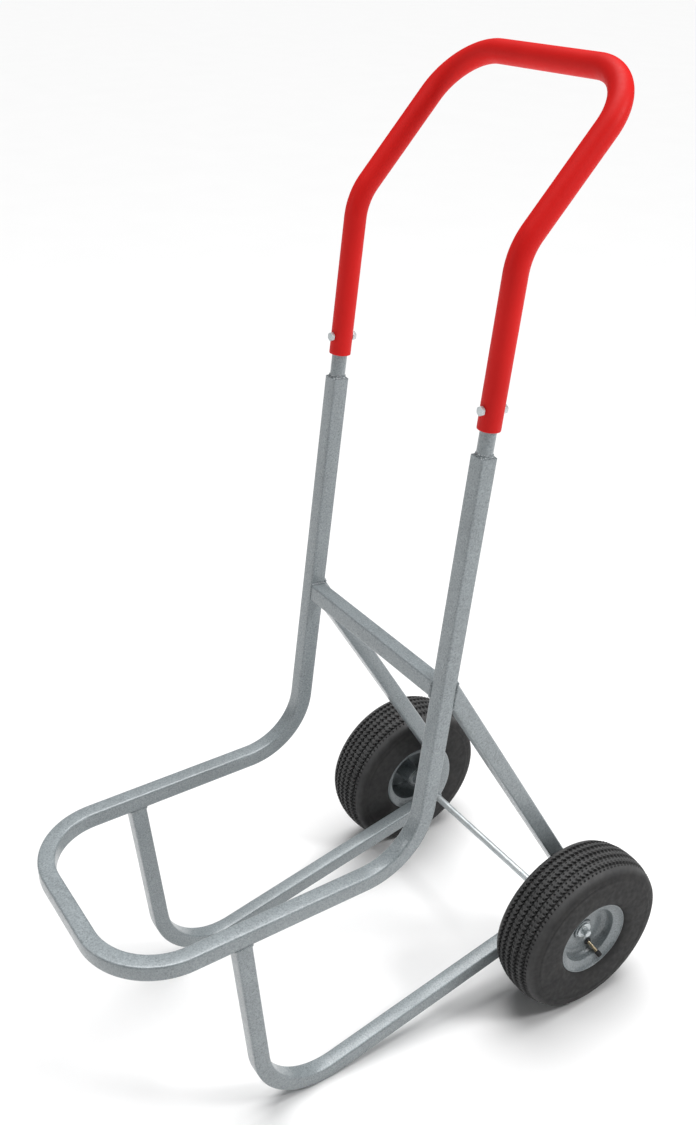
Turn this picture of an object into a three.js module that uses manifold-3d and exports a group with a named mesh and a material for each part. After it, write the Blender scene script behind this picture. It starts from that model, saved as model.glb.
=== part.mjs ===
// Two-wheeled cart for a pair of gas bottles in a carrying case: a bent square-tube frame, side tubes
// that wrap the axle, a bolted loop handle and two pneumatic wheels.
//
// Millimetres. +X is the cart's left-to-right direction, +Y points from the platform towards the wheels
// and +Z is up. The floor is Z = 0 and the outline's middle is at X = 0, Y = 0.

import * as THREE from 'three';
import Module from 'manifold-3d';

// ---- driving dimensions --------------------------------------------------------------------------

const CLEARANCE = 0.3;            // gap left between pieces that touch

const TUBE = 25;                  // square frame tube, outside
const TUBE_WALL = 1.5;
const TUBE_CORNER = 3;            // outside corner radius of the square section
const FRAME_SPAN = 331;           // centre line to centre line of the left and right tubes
const BEND_STEP = 12;             // largest angle between sections in a bend, degrees
const WIRE_BEND_STEP = 40;        // the same for thin wire

const RAIL_HEIGHT = 361;          // platform centre line above the floor
const PLATFORM_DEPTH = 461;       // front bar centre line to where rail and upright lines cross
const PLATFORM_CORNER = 103;      // centre line radius of the two front corners
const UPRIGHT_BEND = 101;         // centre line radius between rail and upright
const UPRIGHT_LEAN = 7.4;         // degrees back from vertical
const UPRIGHT_TOP = 967;          // height of the open tube ends
const CROSSBAR_HEIGHT = 634;

const LEG_TOP_SETBACK = 173;      // from the front bar's centre line back to the leg's top
const LEG_FOOT_SETBACK = 302;     // from the front bar's centre line back to the centre of the foot bend
const LEG_FOOT_BEND = 108;        // centre line radius of the foot bend
const CROOK_BEND = 74;            // centre line radius of the bend that wraps the axle
const CROOK_ANGLE = 35;           // how far below level, rearwards, the bushing sits in the crook, degrees
const BRACE_TOP_HEIGHT = 647;     // where the brace's centre line meets the upright's

const AXLE_RADIUS = 6;
const AXLE_SETBACK = 275;         // from the rail and upright crossing back to the axle
const AXLE_CHAMFER = 1;
const AXLE_PAST_COTTER = 6.5;     // from the cotter pin out to the axle's end
const BUSHING_RADIUS = 9.5;
const BUSHING_INBOARD = 35.5;     // from the side tube's centre line in to the bushing's end
const WASHER_THICKNESS = 1.8;
const WASHER_PLAY = 0.4;          // radial, between washer and axle
const WASHER_RADIUS = 13;

const COTTER_PAST_HUB = 5;        // from the hub's outboard end out to the cotter pin
const COTTER_HOLE = 2;
const COTTER_WIRE = 0.75;
const COTTER_EYE = 2.6;           // eye's half width
const COTTER_SPREAD = 5;          // how far each leg is bent aside below the axle
const COTTER_TURN = 20;           // about the axle, lower end rearwards, degrees

const WHEEL_OFFSET = 70;          // from the side tube's centre line out to the wheel's middle plane
const TYRE_RADIUS = 138;
const TYRE_HALF_WIDTH = 46.3;
const TYRE_SEGMENTS = 32;
const TREAD_ZIGZAG = 1.5;         // sideways swing of the tread grooves
const TREAD_DEPTH = 8;            // the zigzag's depth
const TREAD_HALF_WIDTH = 31;
const INNER_TUBE_WALL = 1.6;
const INNER_TUBE_SEGMENTS = 16;

const RIM_SEGMENTS = 28;
const RIM_SHEET = 2;
const RIM_HALF_WIDTH = 41;
const RIM_LIP_RADIUS = 64;
const RIM_SEAT_RADIUS = 50.8;     // where the tyre's bead sits
const RIM_JOINT = 13.25;          // from the middle plane out to where the two rim halves meet
const HUB_INNER_END = -39;        // along the axle, from the wheel's middle plane
const HUB_OUTER_END = 18;
const HUB_RADIUS = 17;
const HUB_WALL = 2.5;
const BEARING_LENGTH = 8;
const BEARING_INSET = 0.5;        // bearing's face inside the hub's end
const BEARING_PLAY = 0.1;         // radial, between bearing and axle

const VALVE_RADIUS = 35;          // from the axle to where the valve passes the rim's disc
const VALVE_ANGLE = -67;          // degrees from +Y towards +Z
const VALVE_LEAN = 30;            // away from the axle, as the valve runs out, degrees
const VALVE_BEND = 7;
const VALVE_STEM = 2.6;           // radii
const VALVE_HOLE = 3.6;
const VALVE_CAP = 4.2;
const STEM_LENGTH = 31;           // past the rim's disc, along the valve
const CAP_LENGTH = 9.5;
const GROMMET_LENGTH = 3;
const GROMMET_FOOT = 6.2;
const GROMMET_NECK = 5.2;

const STUB_WALL = 1.5;            // round stub that joins frame and handle
const STUB_IN_FRAME = 60;
const STUB_IN_HANDLE = 95;
const HANDLE_WALL = 1.5;          // steel tube inside the grip
const GRIP_WALL = 2.4;
const HANDLE_END_GAP = 34;        // bare stub between frame and handle, along the tube
const HANDLE_LEG_RISE = 245;      // from the frame's top up to where the handle starts to lean back
const HANDLE_LEAN_RISE = 177;     // from there up to the grip bar's centre line
const HANDLE_REACH = 168;         // from there back to the grip bar
const HANDLE_LOWER_BEND = 80;     // centre line radii
const HANDLE_CORNER = 76;

const BOLT_RADIUS = 3.05;
const BOLT_ABOVE_END = 25;        // bolt above the handle's lower end, along the tube
const HEX_ACROSS_FLATS = 11.1;
const BOLT_HEAD = 4;
const NUT_HEIGHT = 5.4;
const BOLT_PAST_NUT = 2;

const COLOURS = {
  frame: 0x8f979a,
  grip: 0xd3292b,
  zinc: 0xb9bdbd,
  tyre: 0x353535,
  rubber: 0x222222,
  rim: 0x6f7778,
  brass: 0xb8964f,
};

// ---- sizes and places that follow from the dimensions --------------------------------------------

const STUB_OUTSIDE = TUBE - 2 * (TUBE_WALL + CLEARANCE);
const HANDLE_TUBE = STUB_OUTSIDE + 2 * (CLEARANCE + HANDLE_WALL);
const GRIP_OUTSIDE = HANDLE_TUBE + 2 * (CLEARANCE + GRIP_WALL);
const HANDLE_BEND_HEIGHT = UPRIGHT_TOP + HANDLE_LEG_RISE;
const HANDLE_TOP_HEIGHT = HANDLE_BEND_HEIGHT + HANDLE_LEAN_RISE;

const HALF_SPAN = FRAME_SPAN / 2;
const WHEEL_CENTRE = HALF_SPAN + WHEEL_OFFSET;
const HUB_INBOARD = WHEEL_CENTRE + HUB_INNER_END;
const HUB_OUTBOARD = WHEEL_CENTRE + HUB_OUTER_END;
const WASHER_INBOARD = HUB_INBOARD - CLEARANCE - WASHER_THICKNESS;
const WASHER_OUTBOARD = HUB_OUTBOARD + CLEARANCE;
const COTTER_POSITION = HUB_OUTBOARD + COTTER_PAST_HUB;
const AXLE_END = COTTER_POSITION + AXLE_PAST_COTTER;

const LEAN = THREE.MathUtils.degToRad(UPRIGHT_LEAN);
const CORNER_Y = (PLATFORM_DEPTH + TUBE / 2 - AXLE_SETBACK - TYRE_RADIUS) / 2;
const FRONT_Y = CORNER_Y - PLATFORM_DEPTH;
const AXLE_Y = CORNER_Y + AXLE_SETBACK;
const AXLE_Z = TYRE_RADIUS;
const X_AXIS = new THREE.Vector3(1, 0, 0);
const UPRIGHT_DIRECTION = new THREE.Vector3(0, Math.sin(LEAN), Math.cos(LEAN));
const UPRIGHT_REARWARD = new THREE.Vector3(0, Math.cos(LEAN), -Math.sin(LEAN));
const SIDES = { left: -1, right: 1 };
const TUBE_SIDES = 12;            // flats round a round tube
const TUBE_END_INSET = 1;         // steel tube's end inside the grip's
const BOLT_SEAT = GRIP_OUTSIDE / 2 + CLEARANCE;

// Point on the upright's centre line at a height.
function onUpright(side, z) {
  return new THREE.Vector3(side * HALF_SPAN, CORNER_Y + (z - RAIL_HEIGHT) * Math.tan(LEAN), z);
}

// Point a distance along the upright's centre line past its top end.
function pastUprightTop(side, distance) {
  return onUpright(side, UPRIGHT_TOP).addScaledVector(UPRIGHT_DIRECTION, distance);
}

// ---- sections and profiles -----------------------------------------------------------------------

function circleLoop(radius, sides) {
  const loop = [];
  for (let i = 0; i < sides; i += 1) {
    const a = (2 * Math.PI * (i + 0.5)) / sides;
    loop.push(new THREE.Vector2(radius * Math.cos(a), radius * Math.sin(a)));
  }
  return loop;
}

// Square with rounded corners: three points to a corner.
function squareLoop(width, cornerRadius) {
  const loop = [];
  const inset = width / 2 - cornerRadius;
  for (let corner = 0; corner < 4; corner += 1) {
    const middle = Math.PI / 4 + (corner * Math.PI) / 2;
    const cx = Math.sign(Math.cos(middle)) * inset;
    const cy = Math.sign(Math.sin(middle)) * inset;
    for (const turn of [-Math.PI / 4, 0, Math.PI / 4]) {
      const a = middle + turn;
      loop.push(new THREE.Vector2(cx + cornerRadius * Math.cos(a), cy + cornerRadius * Math.sin(a)));
    }
  }
  return loop;
}

function sharpSquareLoop(width) {
  const h = width / 2;
  return [[h, -h], [h, h], [-h, h], [-h, -h]].map(([x, y]) => new THREE.Vector2(x, y));
}

// Points moved a distance to the left of the line that they make.
function offsetLine(points, distance) {
  const line = points.map(([x, r]) => new THREE.Vector2(x, r));
  return line.map((from, i) => {
    const arriving = from.clone().sub(line[Math.max(i - 1, 0)]).normalize();
    const leaving = line[Math.min(i + 1, line.length - 1)].clone().sub(from).normalize();
    const before = i > 0 ? arriving : leaving;
    const after = i < line.length - 1 ? leaving : arriving;
    const mitre = new THREE.Vector2(-before.y - after.y, before.x + after.x);
    const point = from.clone().addScaledVector(mitre, distance / (1 + before.dot(after)));
    return [point.x, point.y];
  });
}

// Closed outline of a sheet whose one face follows the points, thickened to the left of their line.
function sheetOutline(points, thickness) {
  return [...points, ...offsetLine(points, thickness).reverse()];
}

// ---- solids --------------------------------------------------------------------------------------

function indexedGeometry(positions, triangles) {
  const geometry = new THREE.BufferGeometry();
  geometry.setAttribute('position', new THREE.Float32BufferAttribute(positions, 3));
  geometry.setIndex(triangles);
  geometry.computeVertexNormals();
  return geometry;
}

// Stations along a polyline whose inner corners are rounded to the given radii.
function roundedPath(corners, radii, stepDegrees = BEND_STEP) {
  const stations = [];
  const last = corners.length - 1;
  const direction = (i) => corners[i + 1].clone().sub(corners[i]).normalize();
  stations.push({ point: corners[0].clone(), tangent: direction(0) });
  for (let i = 1; i < last; i += 1) {
    const arriving = direction(i - 1);
    const leaving = direction(i);
    const turn = arriving.angleTo(leaving);
    const radius = radii[i - 1];
    const inward = leaving.clone().addScaledVector(arriving, -arriving.dot(leaving)).normalize();
    const start = corners[i].clone().addScaledVector(arriving, -radius * Math.tan(turn / 2));
    const centre = start.clone().addScaledVector(inward, radius);
    const steps = Math.ceil(THREE.MathUtils.radToDeg(turn) / stepDegrees);
    for (let k = 0; k <= steps; k += 1) {
      const a = (turn * k) / steps;
      const point = centre.clone().addScaledVector(inward, -radius * Math.cos(a));
      point.addScaledVector(arriving, radius * Math.sin(a));
      const tangent = arriving.clone().multiplyScalar(Math.cos(a)).addScaledVector(inward, Math.sin(a));
      stations.push({ point, tangent });
    }
  }
  stations.push({ point: corners[last].clone(), tangent: direction(last - 1) });
  return stations;
}

// Sweeps an outer loop, and an inner one for a hollow tube, along stations. The section's x axis
// starts along `side`. An end plane's normal makes that end an oblique cut through its station.
function sweep(stations, outer, inner, side, endNormals = {}) {
  const loops = inner ? [outer, inner] : [outer];
  const positions = [];
  const axis = side.clone();
  stations.forEach(({ point, tangent }, s) => {
    if (s > 0) {
      const turn = new THREE.Quaternion().setFromUnitVectors(stations[s - 1].tangent, tangent);
      axis.applyQuaternion(turn);
    }
    const up = tangent.clone().cross(axis);
    const cut = s === 0 ? endNormals.start : s === stations.length - 1 ? endNormals.end : undefined;
    for (const loop of loops) {
      for (const p of loop) {
        const vertex = point.clone().addScaledVector(axis, p.x).addScaledVector(up, p.y);
        if (cut) {
          const along = point.clone().sub(vertex).dot(cut) / tangent.dot(cut);
          vertex.addScaledVector(tangent, along);
        }
        positions.push(vertex.x, vertex.y, vertex.z);
      }
    }
  });
  const ring = loops.reduce((sum, loop) => sum + loop.length, 0);
  const triangles = [];
  for (let s = 0; s < stations.length - 1; s += 1) {
    let base = 0;
    loops.forEach((loop, which) => {
      for (let i = 0; i < loop.length; i += 1) {
        const j = (i + 1) % loop.length;
        const a = s * ring + base + i;
        const b = s * ring + base + j;
        const c = b + ring;
        const d = a + ring;
        triangles.push(...(which === 0 ? [a, b, c, a, c, d] : [a, c, b, a, d, c]));
      }
      base += loop.length;
    });
  }
  const cap = THREE.ShapeUtils.triangulateShape(outer, inner ? [inner] : []);
  const end = (stations.length - 1) * ring;
  for (const [a, b, c] of cap) {
    triangles.push(a, c, b, end + a, end + b, end + c);
  }
  return indexedGeometry(positions, triangles);
}

// Revolves a closed (x, radius) outline about the X axis. `swing(x, radius, step)` can move a point sideways.
function revolve(outline, segments, swing = () => 0) {
  const area = THREE.ShapeUtils.area(outline.map(([x, r]) => new THREE.Vector2(x, r)));
  const loop = area > 0 ? outline : [...outline].reverse();
  const positions = [];
  for (let s = 0; s < segments; s += 1) {
    const a = (2 * Math.PI * s) / segments;
    for (const [x, r] of loop) {
      positions.push(x + swing(x, r, s), r * Math.cos(a), r * Math.sin(a));
    }
  }
  const count = loop.length;
  const triangles = [];
  for (let s = 0; s < segments; s += 1) {
    const next = (s + 1) % segments;
    for (let i = 0; i < count; i += 1) {
      const j = (i + 1) % count;
      const a = s * count + i;
      const b = s * count + j;
      const c = next * count + j;
      const d = next * count + i;
      triangles.push(a, b, c, a, c, d);
    }
  }
  return indexedGeometry(positions, triangles);
}

// Revolves an outline that starts and ends on the axis.
function revolveSolid(outline, segments) {
  const body = outline.filter(([, r]) => r > 0);
  const positions = [];
  body.forEach(([x, r]) => {
    for (let s = 0; s < segments; s += 1) {
      const a = (2 * Math.PI * s) / segments;
      positions.push(x, r * Math.cos(a), r * Math.sin(a));
    }
  });
  const triangles = [];
  for (let k = 0; k < body.length - 1; k += 1) {
    for (let s = 0; s < segments; s += 1) {
      const n = (s + 1) % segments;
      const a = k * segments + s;
      const b = k * segments + n;
      triangles.push(a, b, b + segments, a, b + segments, a + segments);
    }
  }
  const end = (body.length - 1) * segments;
  for (let s = 1; s < segments - 1; s += 1) {
    triangles.push(0, s + 1, s, end, end + s, end + s + 1);
  }
  return indexedGeometry(positions, triangles);
}

// ---- cuts ----------------------------------------------------------------------------------------

const wasm = await Module();
wasm.setup();

function toManifold(geometry) {
  const mesh = new wasm.Mesh({
    numProp: 3,
    vertProperties: new Float32Array(geometry.getAttribute('position').array),
    triVerts: new Uint32Array(geometry.getIndex().array),
  });
  return new wasm.Manifold(mesh);
}

function cut(geometry, ...tools) {
  let solid = toManifold(geometry);
  for (const tool of tools) {
    solid = solid.subtract(toManifold(tool));
  }
  const mesh = solid.getMesh();
  return indexedGeometry(Array.from(mesh.vertProperties), Array.from(mesh.triVerts));
}

// Straight round drill through a point.
function drill(centre, direction, radius, length) {
  const tangent = direction.clone().normalize();
  const side = new THREE.Vector3(1, 0, 0);
  if (Math.abs(tangent.x) > 0.9) {
    side.set(0, 1, 0);
  }
  side.addScaledVector(tangent, -side.dot(tangent)).normalize();
  const from = centre.clone().addScaledVector(tangent, -length / 2);
  const to = centre.clone().addScaledVector(tangent, length / 2);
  return sweep([{ point: from, tangent }, { point: to, tangent }], circleLoop(radius, 12), null, side);
}

// ---- parts ---------------------------------------------------------------------------------------

const group = new THREE.Group();
group.name = 'torch_cart';

function material(colour, roughness, metalness) {
  return new THREE.MeshStandardMaterial({ color: colour, roughness, metalness });
}

const MATERIALS = {
  frame: material(COLOURS.frame, 0.45, 0.35),
  grip: material(COLOURS.grip, 0.4, 0),
  zinc: material(COLOURS.zinc, 0.3, 0.9),
  tyre: material(COLOURS.tyre, 0.85, 0),
  rubber: material(COLOURS.rubber, 0.7, 0),
  rim: material(COLOURS.rim, 0.45, 0.4),
  brass: material(COLOURS.brass, 0.35, 0.9),
};

function add(name, geometry, kind) {
  const mesh = new THREE.Mesh(geometry, MATERIALS[kind]);
  mesh.name = name;
  group.add(mesh);
}

const SQUARE_OUTER = squareLoop(TUBE, TUBE_CORNER);
const SQUARE_INNER = sharpSquareLoop(TUBE - 2 * TUBE_WALL);

// One tube: down the right upright, round the platform and up the left upright.
function mainFrame() {
  const corners = [
    onUpright(1, UPRIGHT_TOP),
    onUpright(1, RAIL_HEIGHT),
    new THREE.Vector3(HALF_SPAN, FRONT_Y, RAIL_HEIGHT),
    new THREE.Vector3(-HALF_SPAN, FRONT_Y, RAIL_HEIGHT),
    onUpright(-1, RAIL_HEIGHT),
    onUpright(-1, UPRIGHT_TOP),
  ];
  const radii = [UPRIGHT_BEND, PLATFORM_CORNER, PLATFORM_CORNER, UPRIGHT_BEND];
  return sweep(roundedPath(corners, radii), SQUARE_OUTER, SQUARE_INNER, X_AXIS);
}

function crossbar() {
  const reach = HALF_SPAN - TUBE / 2 - CLEARANCE;
  const middle = onUpright(0, CROSSBAR_HEIGHT);
  const stations = [-reach, reach].map((x) => ({
    point: new THREE.Vector3(x, middle.y, middle.z),
    tangent: X_AXIS,
  }));
  return sweep(stations, SQUARE_OUTER, SQUARE_INNER, UPRIGHT_REARWARD);
}

// Corner points of a line pulled tight round circles in the YZ plane, all on its left as it runs.
function beltCorners(start, circles, end) {
  const wraps = [{ centre: start, radius: 0 }, ...circles, { centre: end, radius: 0 }];
  const normals = [];
  for (let i = 0; i < wraps.length - 1; i += 1) {
    const span = wraps[i + 1].centre.clone().sub(wraps[i].centre);
    const along = span.clone().normalize();
    const outward = new THREE.Vector2(along.y, -along.x);
    const sine = (wraps[i].radius - wraps[i + 1].radius) / span.length();
    const cosine = Math.sqrt(1 - sine * sine);
    normals.push(along.multiplyScalar(sine).addScaledVector(outward, cosine));
  }
  const corners = circles.map(({ centre, radius }, i) => {
    const [n1, n2] = [normals[i], normals[i + 1]];
    return centre.clone().addScaledVector(n1.clone().add(n2), radius / (1 + n1.dot(n2)));
  });
  return [start, ...corners, end];
}

// Where the line from one point towards another crosses a plane.
function slideToPlane(from, towards, planePoint, normal) {
  const line = towards.clone().sub(from);
  const t = planePoint.clone().sub(from).dot(normal) / line.dot(normal);
  return from.clone().addScaledVector(line, t);
}

// One tube: down from the rail, round the foot bend, back under the axle's bushing and up to the upright.
function sideTube(side) {
  const foot = {
    centre: new THREE.Vector2(FRONT_Y + LEG_FOOT_SETBACK, LEG_FOOT_BEND + TUBE / 2),
    radius: LEG_FOOT_BEND,
  };
  const tuck = THREE.MathUtils.degToRad(CROOK_ANGLE);
  const reach = CROOK_BEND - TUBE / 2 - CLEARANCE - BUSHING_RADIUS;
  const crook = {
    centre: new THREE.Vector2(AXLE_Y - reach * Math.cos(tuck), AXLE_Z + reach * Math.sin(tuck)),
    radius: CROOK_BEND,
  };
  const braceTop = onUpright(side, BRACE_TOP_HEIGHT);
  const path = beltCorners(
    new THREE.Vector2(FRONT_Y + LEG_TOP_SETBACK, RAIL_HEIGHT),
    [foot, crook],
    new THREE.Vector2(braceTop.y, braceTop.z),
  );
  const corners = path.map((p) => new THREE.Vector3(side * HALF_SPAN, p.x, p.y));
  const down = new THREE.Vector3(0, 0, -1);
  const underRail = new THREE.Vector3(0, 0, RAIL_HEIGHT - TUBE / 2 - CLEARANCE);
  const behindUpright = braceTop.clone().addScaledVector(UPRIGHT_REARWARD, TUBE / 2 + CLEARANCE);
  corners[0] = slideToPlane(corners[0], corners[1], underRail, down);
  corners[3] = slideToPlane(corners[3], corners[2], behindUpright, UPRIGHT_REARWARD);
  const stations = roundedPath(corners, [LEG_FOOT_BEND, CROOK_BEND]);
  return sweep(stations, SQUARE_OUTER, SQUARE_INNER, X_AXIS, { start: down, end: UPRIGHT_REARWARD });
}

// Handle's centre line from just above the left stub's bare part to the same place on the right.
function handlePath(endInset) {
  const lower = (side) => pastUprightTop(side, HANDLE_END_GAP + endInset);
  const bend = (side) => onUpright(side, HANDLE_BEND_HEIGHT);
  const corner = (side) => {
    const point = bend(side);
    return new THREE.Vector3(point.x, point.y + HANDLE_REACH, HANDLE_TOP_HEIGHT);
  };
  const corners = [lower(-1), bend(-1), corner(-1), corner(1), bend(1), lower(1)];
  return roundedPath(corners, [HANDLE_LOWER_BEND, HANDLE_CORNER, HANDLE_CORNER, HANDLE_LOWER_BEND]);
}

function boltCentre(side) {
  return pastUprightTop(side, HANDLE_END_GAP + BOLT_ABOVE_END);
}

function boltDrill(side) {
  return drill(boltCentre(side), UPRIGHT_REARWARD, BOLT_RADIUS + CLEARANCE, 2 * GRIP_OUTSIDE);
}

function handleTube() {
  const stations = handlePath(TUBE_END_INSET);
  const inner = circleLoop(HANDLE_TUBE / 2 - HANDLE_WALL, TUBE_SIDES);
  const tube = sweep(stations, circleLoop(HANDLE_TUBE / 2, TUBE_SIDES), inner, X_AXIS);
  return cut(tube, boltDrill(-1), boltDrill(1));
}

function handleGrip() {
  const bore = circleLoop(HANDLE_TUBE / 2 + CLEARANCE, TUBE_SIDES);
  const sleeve = sweep(handlePath(0), circleLoop(GRIP_OUTSIDE / 2, TUBE_SIDES), bore, X_AXIS);
  return cut(sleeve, boltDrill(-1), boltDrill(1));
}

function stub(side) {
  const from = pastUprightTop(side, -STUB_IN_FRAME);
  const to = pastUprightTop(side, HANDLE_END_GAP + STUB_IN_HANDLE);
  const stations = [from, to].map((point) => ({ point, tangent: UPRIGHT_DIRECTION }));
  const inner = circleLoop(STUB_OUTSIDE / 2 - STUB_WALL, TUBE_SIDES);
  const tube = sweep(stations, circleLoop(STUB_OUTSIDE / 2, TUBE_SIDES), inner, X_AXIS);
  return cut(tube, boltDrill(side));
}

function hexLoop() {
  return circleLoop(HEX_ACROSS_FLATS / 2 / Math.cos(Math.PI / 6), 6);
}

// Station on a handle bolt's axis, a distance rearwards of the tube's centre line.
function onBolt(side, distance) {
  const point = boltCentre(side).addScaledVector(UPRIGHT_REARWARD, distance);
  return { point, tangent: UPRIGHT_REARWARD };
}

function handleBolt(side) {
  const seat = onBolt(side, -BOLT_SEAT);
  const head = sweep([onBolt(side, -BOLT_SEAT - BOLT_HEAD), seat], hexLoop(), null, X_AXIS);
  const inHead = onBolt(side, -BOLT_SEAT - BOLT_HEAD / 2);
  const tip = onBolt(side, BOLT_SEAT + NUT_HEIGHT + BOLT_PAST_NUT);
  const shank = sweep([inHead, tip], circleLoop(BOLT_RADIUS, TUBE_SIDES), null, X_AXIS);
  const mesh = toManifold(head).add(toManifold(shank)).getMesh();
  return indexedGeometry(Array.from(mesh.vertProperties), Array.from(mesh.triVerts));
}

function handleNut(side) {
  const bore = circleLoop(BOLT_RADIUS + CLEARANCE, TUBE_SIDES);
  const ends = [onBolt(side, BOLT_SEAT), onBolt(side, BOLT_SEAT + NUT_HEIGHT)];
  return sweep(ends, hexLoop(), bore, X_AXIS);
}

// Ring about the axle between two X positions.
function axleRing(side, from, to, innerRadius, outerRadius, segments) {
  const outline = [[from, innerRadius], [from, outerRadius], [to, outerRadius], [to, innerRadius]];
  const ring = revolve(outline.map(([x, r]) => [side * x, r]), segments);
  return ring.translate(0, AXLE_Y, AXLE_Z);
}

function axleBushing(side) {
  const outboard = WASHER_INBOARD - CLEARANCE;
  return axleRing(side, HALF_SPAN - BUSHING_INBOARD, outboard, AXLE_RADIUS + CLEARANCE, BUSHING_RADIUS, 16);
}

function washer(side, from) {
  return axleRing(side, from, from + WASHER_THICKNESS, AXLE_RADIUS + WASHER_PLAY, WASHER_RADIUS, 16);
}

function axle() {
  const rod = revolveSolid([
    [-AXLE_END, AXLE_RADIUS - AXLE_CHAMFER],
    [-AXLE_END + AXLE_CHAMFER, AXLE_RADIUS],
    [AXLE_END - AXLE_CHAMFER, AXLE_RADIUS],
    [AXLE_END, AXLE_RADIUS - AXLE_CHAMFER],
  ], 16);
  const turn = THREE.MathUtils.degToRad(COTTER_TURN);
  const along = new THREE.Vector3(0, -Math.sin(turn), Math.cos(turn));
  const holes = [-1, 1].map((side) => {
    const centre = new THREE.Vector3(side * COTTER_POSITION, 0, 0);
    return drill(centre, along, COTTER_HOLE, 4 * AXLE_RADIUS);
  });
  return cut(rod, ...holes).translate(0, AXLE_Y, AXLE_Z);
}

// Folded wire: an eye above the axle, two legs through it, spread below.
function cotterPin(side) {
  const leg = COTTER_WIRE + 0.1;
  const bendAt = AXLE_RADIUS + 2;
  const eyeAt = bendAt + 3;
  const spreadAt = bendAt + 4.5;
  const rightHalf = [
    [0, eyeAt + COTTER_EYE],
    [leg + COTTER_EYE, eyeAt],
    [leg, bendAt],
    [leg, -bendAt],
    [leg + COTTER_SPREAD, -spreadAt],
  ];
  const leftHalf = rightHalf.slice(1).reverse().map(([y, z]) => [-y, z]);
  const corners = [...leftHalf, ...rightHalf].map(([y, z]) => new THREE.Vector3(0, y, z));
  const radii = corners.slice(2).map(() => 2 * COTTER_WIRE);
  const pin = sweep(roundedPath(corners, radii, WIRE_BEND_STEP), circleLoop(COTTER_WIRE, 6), null, X_AXIS);
  pin.rotateX(THREE.MathUtils.degToRad(COTTER_TURN));
  return pin.translate(side * COTTER_POSITION, AXLE_Y, AXLE_Z);
}

// ---- wheel: outlines as (distance out from the middle plane, radius) ----------------------------

const LIP = RIM_HALF_WIDTH;
const DISC_EDGE = HUB_RADIUS + CLEARANCE;

// The rim's flare from seat to lip, on the face towards the tyre.
const FLARE = [
  [LIP - 12.5, RIM_SEAT_RADIUS],
  [LIP - 11, RIM_LIP_RADIUS - 10.5],
  [LIP - 7, RIM_LIP_RADIUS - 5],
  [LIP - 2, RIM_LIP_RADIUS],
  [LIP, RIM_LIP_RADIUS],
];

// Face of a rim half towards the tyre, hub to lip, with its disc at a distance from the middle plane.
function rimFace(discPosition) {
  return [
    [discPosition, DISC_EDGE],
    [discPosition, RIM_SEAT_RADIUS - RIM_SHEET],
    [discPosition + RIM_SHEET, RIM_SEAT_RADIUS],
    ...FLARE,
  ];
}
const RIM_OUTBOARD = rimFace(RIM_JOINT + CLEARANCE / 2).reverse();
const RIM_INBOARD = mirrored(rimFace(-RIM_JOINT + CLEARANCE / 2).reverse());

// Radius at a share of the way from the rim's lip to the tread.
function sidewall(share) {
  return RIM_LIP_RADIUS + share * (TYRE_RADIUS - RIM_LIP_RADIUS);
}

// Tyre's bead follows the rim; the low points near the crown are tread grooves.
const BEAD = offsetLine([[LIP - 20, RIM_SEAT_RADIUS], ...FLARE], CLEARANCE + 0.1);
const TYRE_OUTSIDE = [
  ...BEAD,
  [TYRE_HALF_WIDTH - 0.8, sidewall(0.108)],
  [TYRE_HALF_WIDTH, sidewall(0.324)],
  [TYRE_HALF_WIDTH - 0.7, sidewall(0.581)],
  [TYRE_HALF_WIDTH - 5.8, TYRE_RADIUS - 9.8],
  [29.8, TYRE_RADIUS - 4.3],
  [28, TYRE_RADIUS - 7.8],
  [26.2, TYRE_RADIUS - 3.3],
  [14.4, TYRE_RADIUS - 1],
  [12.8, TYRE_RADIUS - 4.7],
  [11, TYRE_RADIUS],
];
const TYRE_INSIDE = [
  [LIP - 15.5, RIM_LIP_RADIUS - 6],
  [LIP - 8, sidewall(0.054)],
  [TYRE_HALF_WIDTH - 6.3, sidewall(0.189)],
  [TYRE_HALF_WIDTH - 5.5, sidewall(0.419)],
  [TYRE_HALF_WIDTH - 10.3, TYRE_RADIUS - 22],
  [20.5, TYRE_RADIUS - 11],
];

// Half of the inner tube's inside, from the slit along its foot to its crown.
const INNER_TUBE = [
  [3, RIM_LIP_RADIUS - 7],
  [LIP - 20, RIM_LIP_RADIUS - 4.5],
  [TYRE_HALF_WIDTH - 8.9, sidewall(0.243)],
  [27, TYRE_RADIUS - 19.5],
];

function mirrored(points) {
  return points.map(([x, r]) => [-x, r]).reverse();
}

// Moves a solid built about the wheel's own centre to a wheel.
function atWheel(side, geometry) {
  return geometry.translate(side * WHEEL_CENTRE, AXLE_Y, AXLE_Z);
}

function wheelRevolve(side, outline, segments, swing) {
  return revolve(outline.map(([x, r]) => [side * x, r]), segments, swing);
}

function tyre(side) {
  const inside = TYRE_INSIDE.slice().reverse();
  const outline = [...TYRE_OUTSIDE, ...mirrored(TYRE_OUTSIDE), ...mirrored(inside), ...inside];
  const inTread = (x, r) => r > TYRE_RADIUS - TREAD_DEPTH && Math.abs(x) < TREAD_HALF_WIDTH;
  const swing = (x, r, step) => (inTread(x, r) ? TREAD_ZIGZAG * (step % 2 ? 1 : -1) : 0);
  return atWheel(side, wheelRevolve(side, outline, TYRE_SEGMENTS, swing));
}

function innerTube(side) {
  const line = [...mirrored(INNER_TUBE.slice().reverse()), ...INNER_TUBE.slice().reverse()];
  const outline = sheetOutline(line, INNER_TUBE_WALL);
  return atWheel(side, wheelRevolve(side, outline, INNER_TUBE_SEGMENTS));
}

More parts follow.
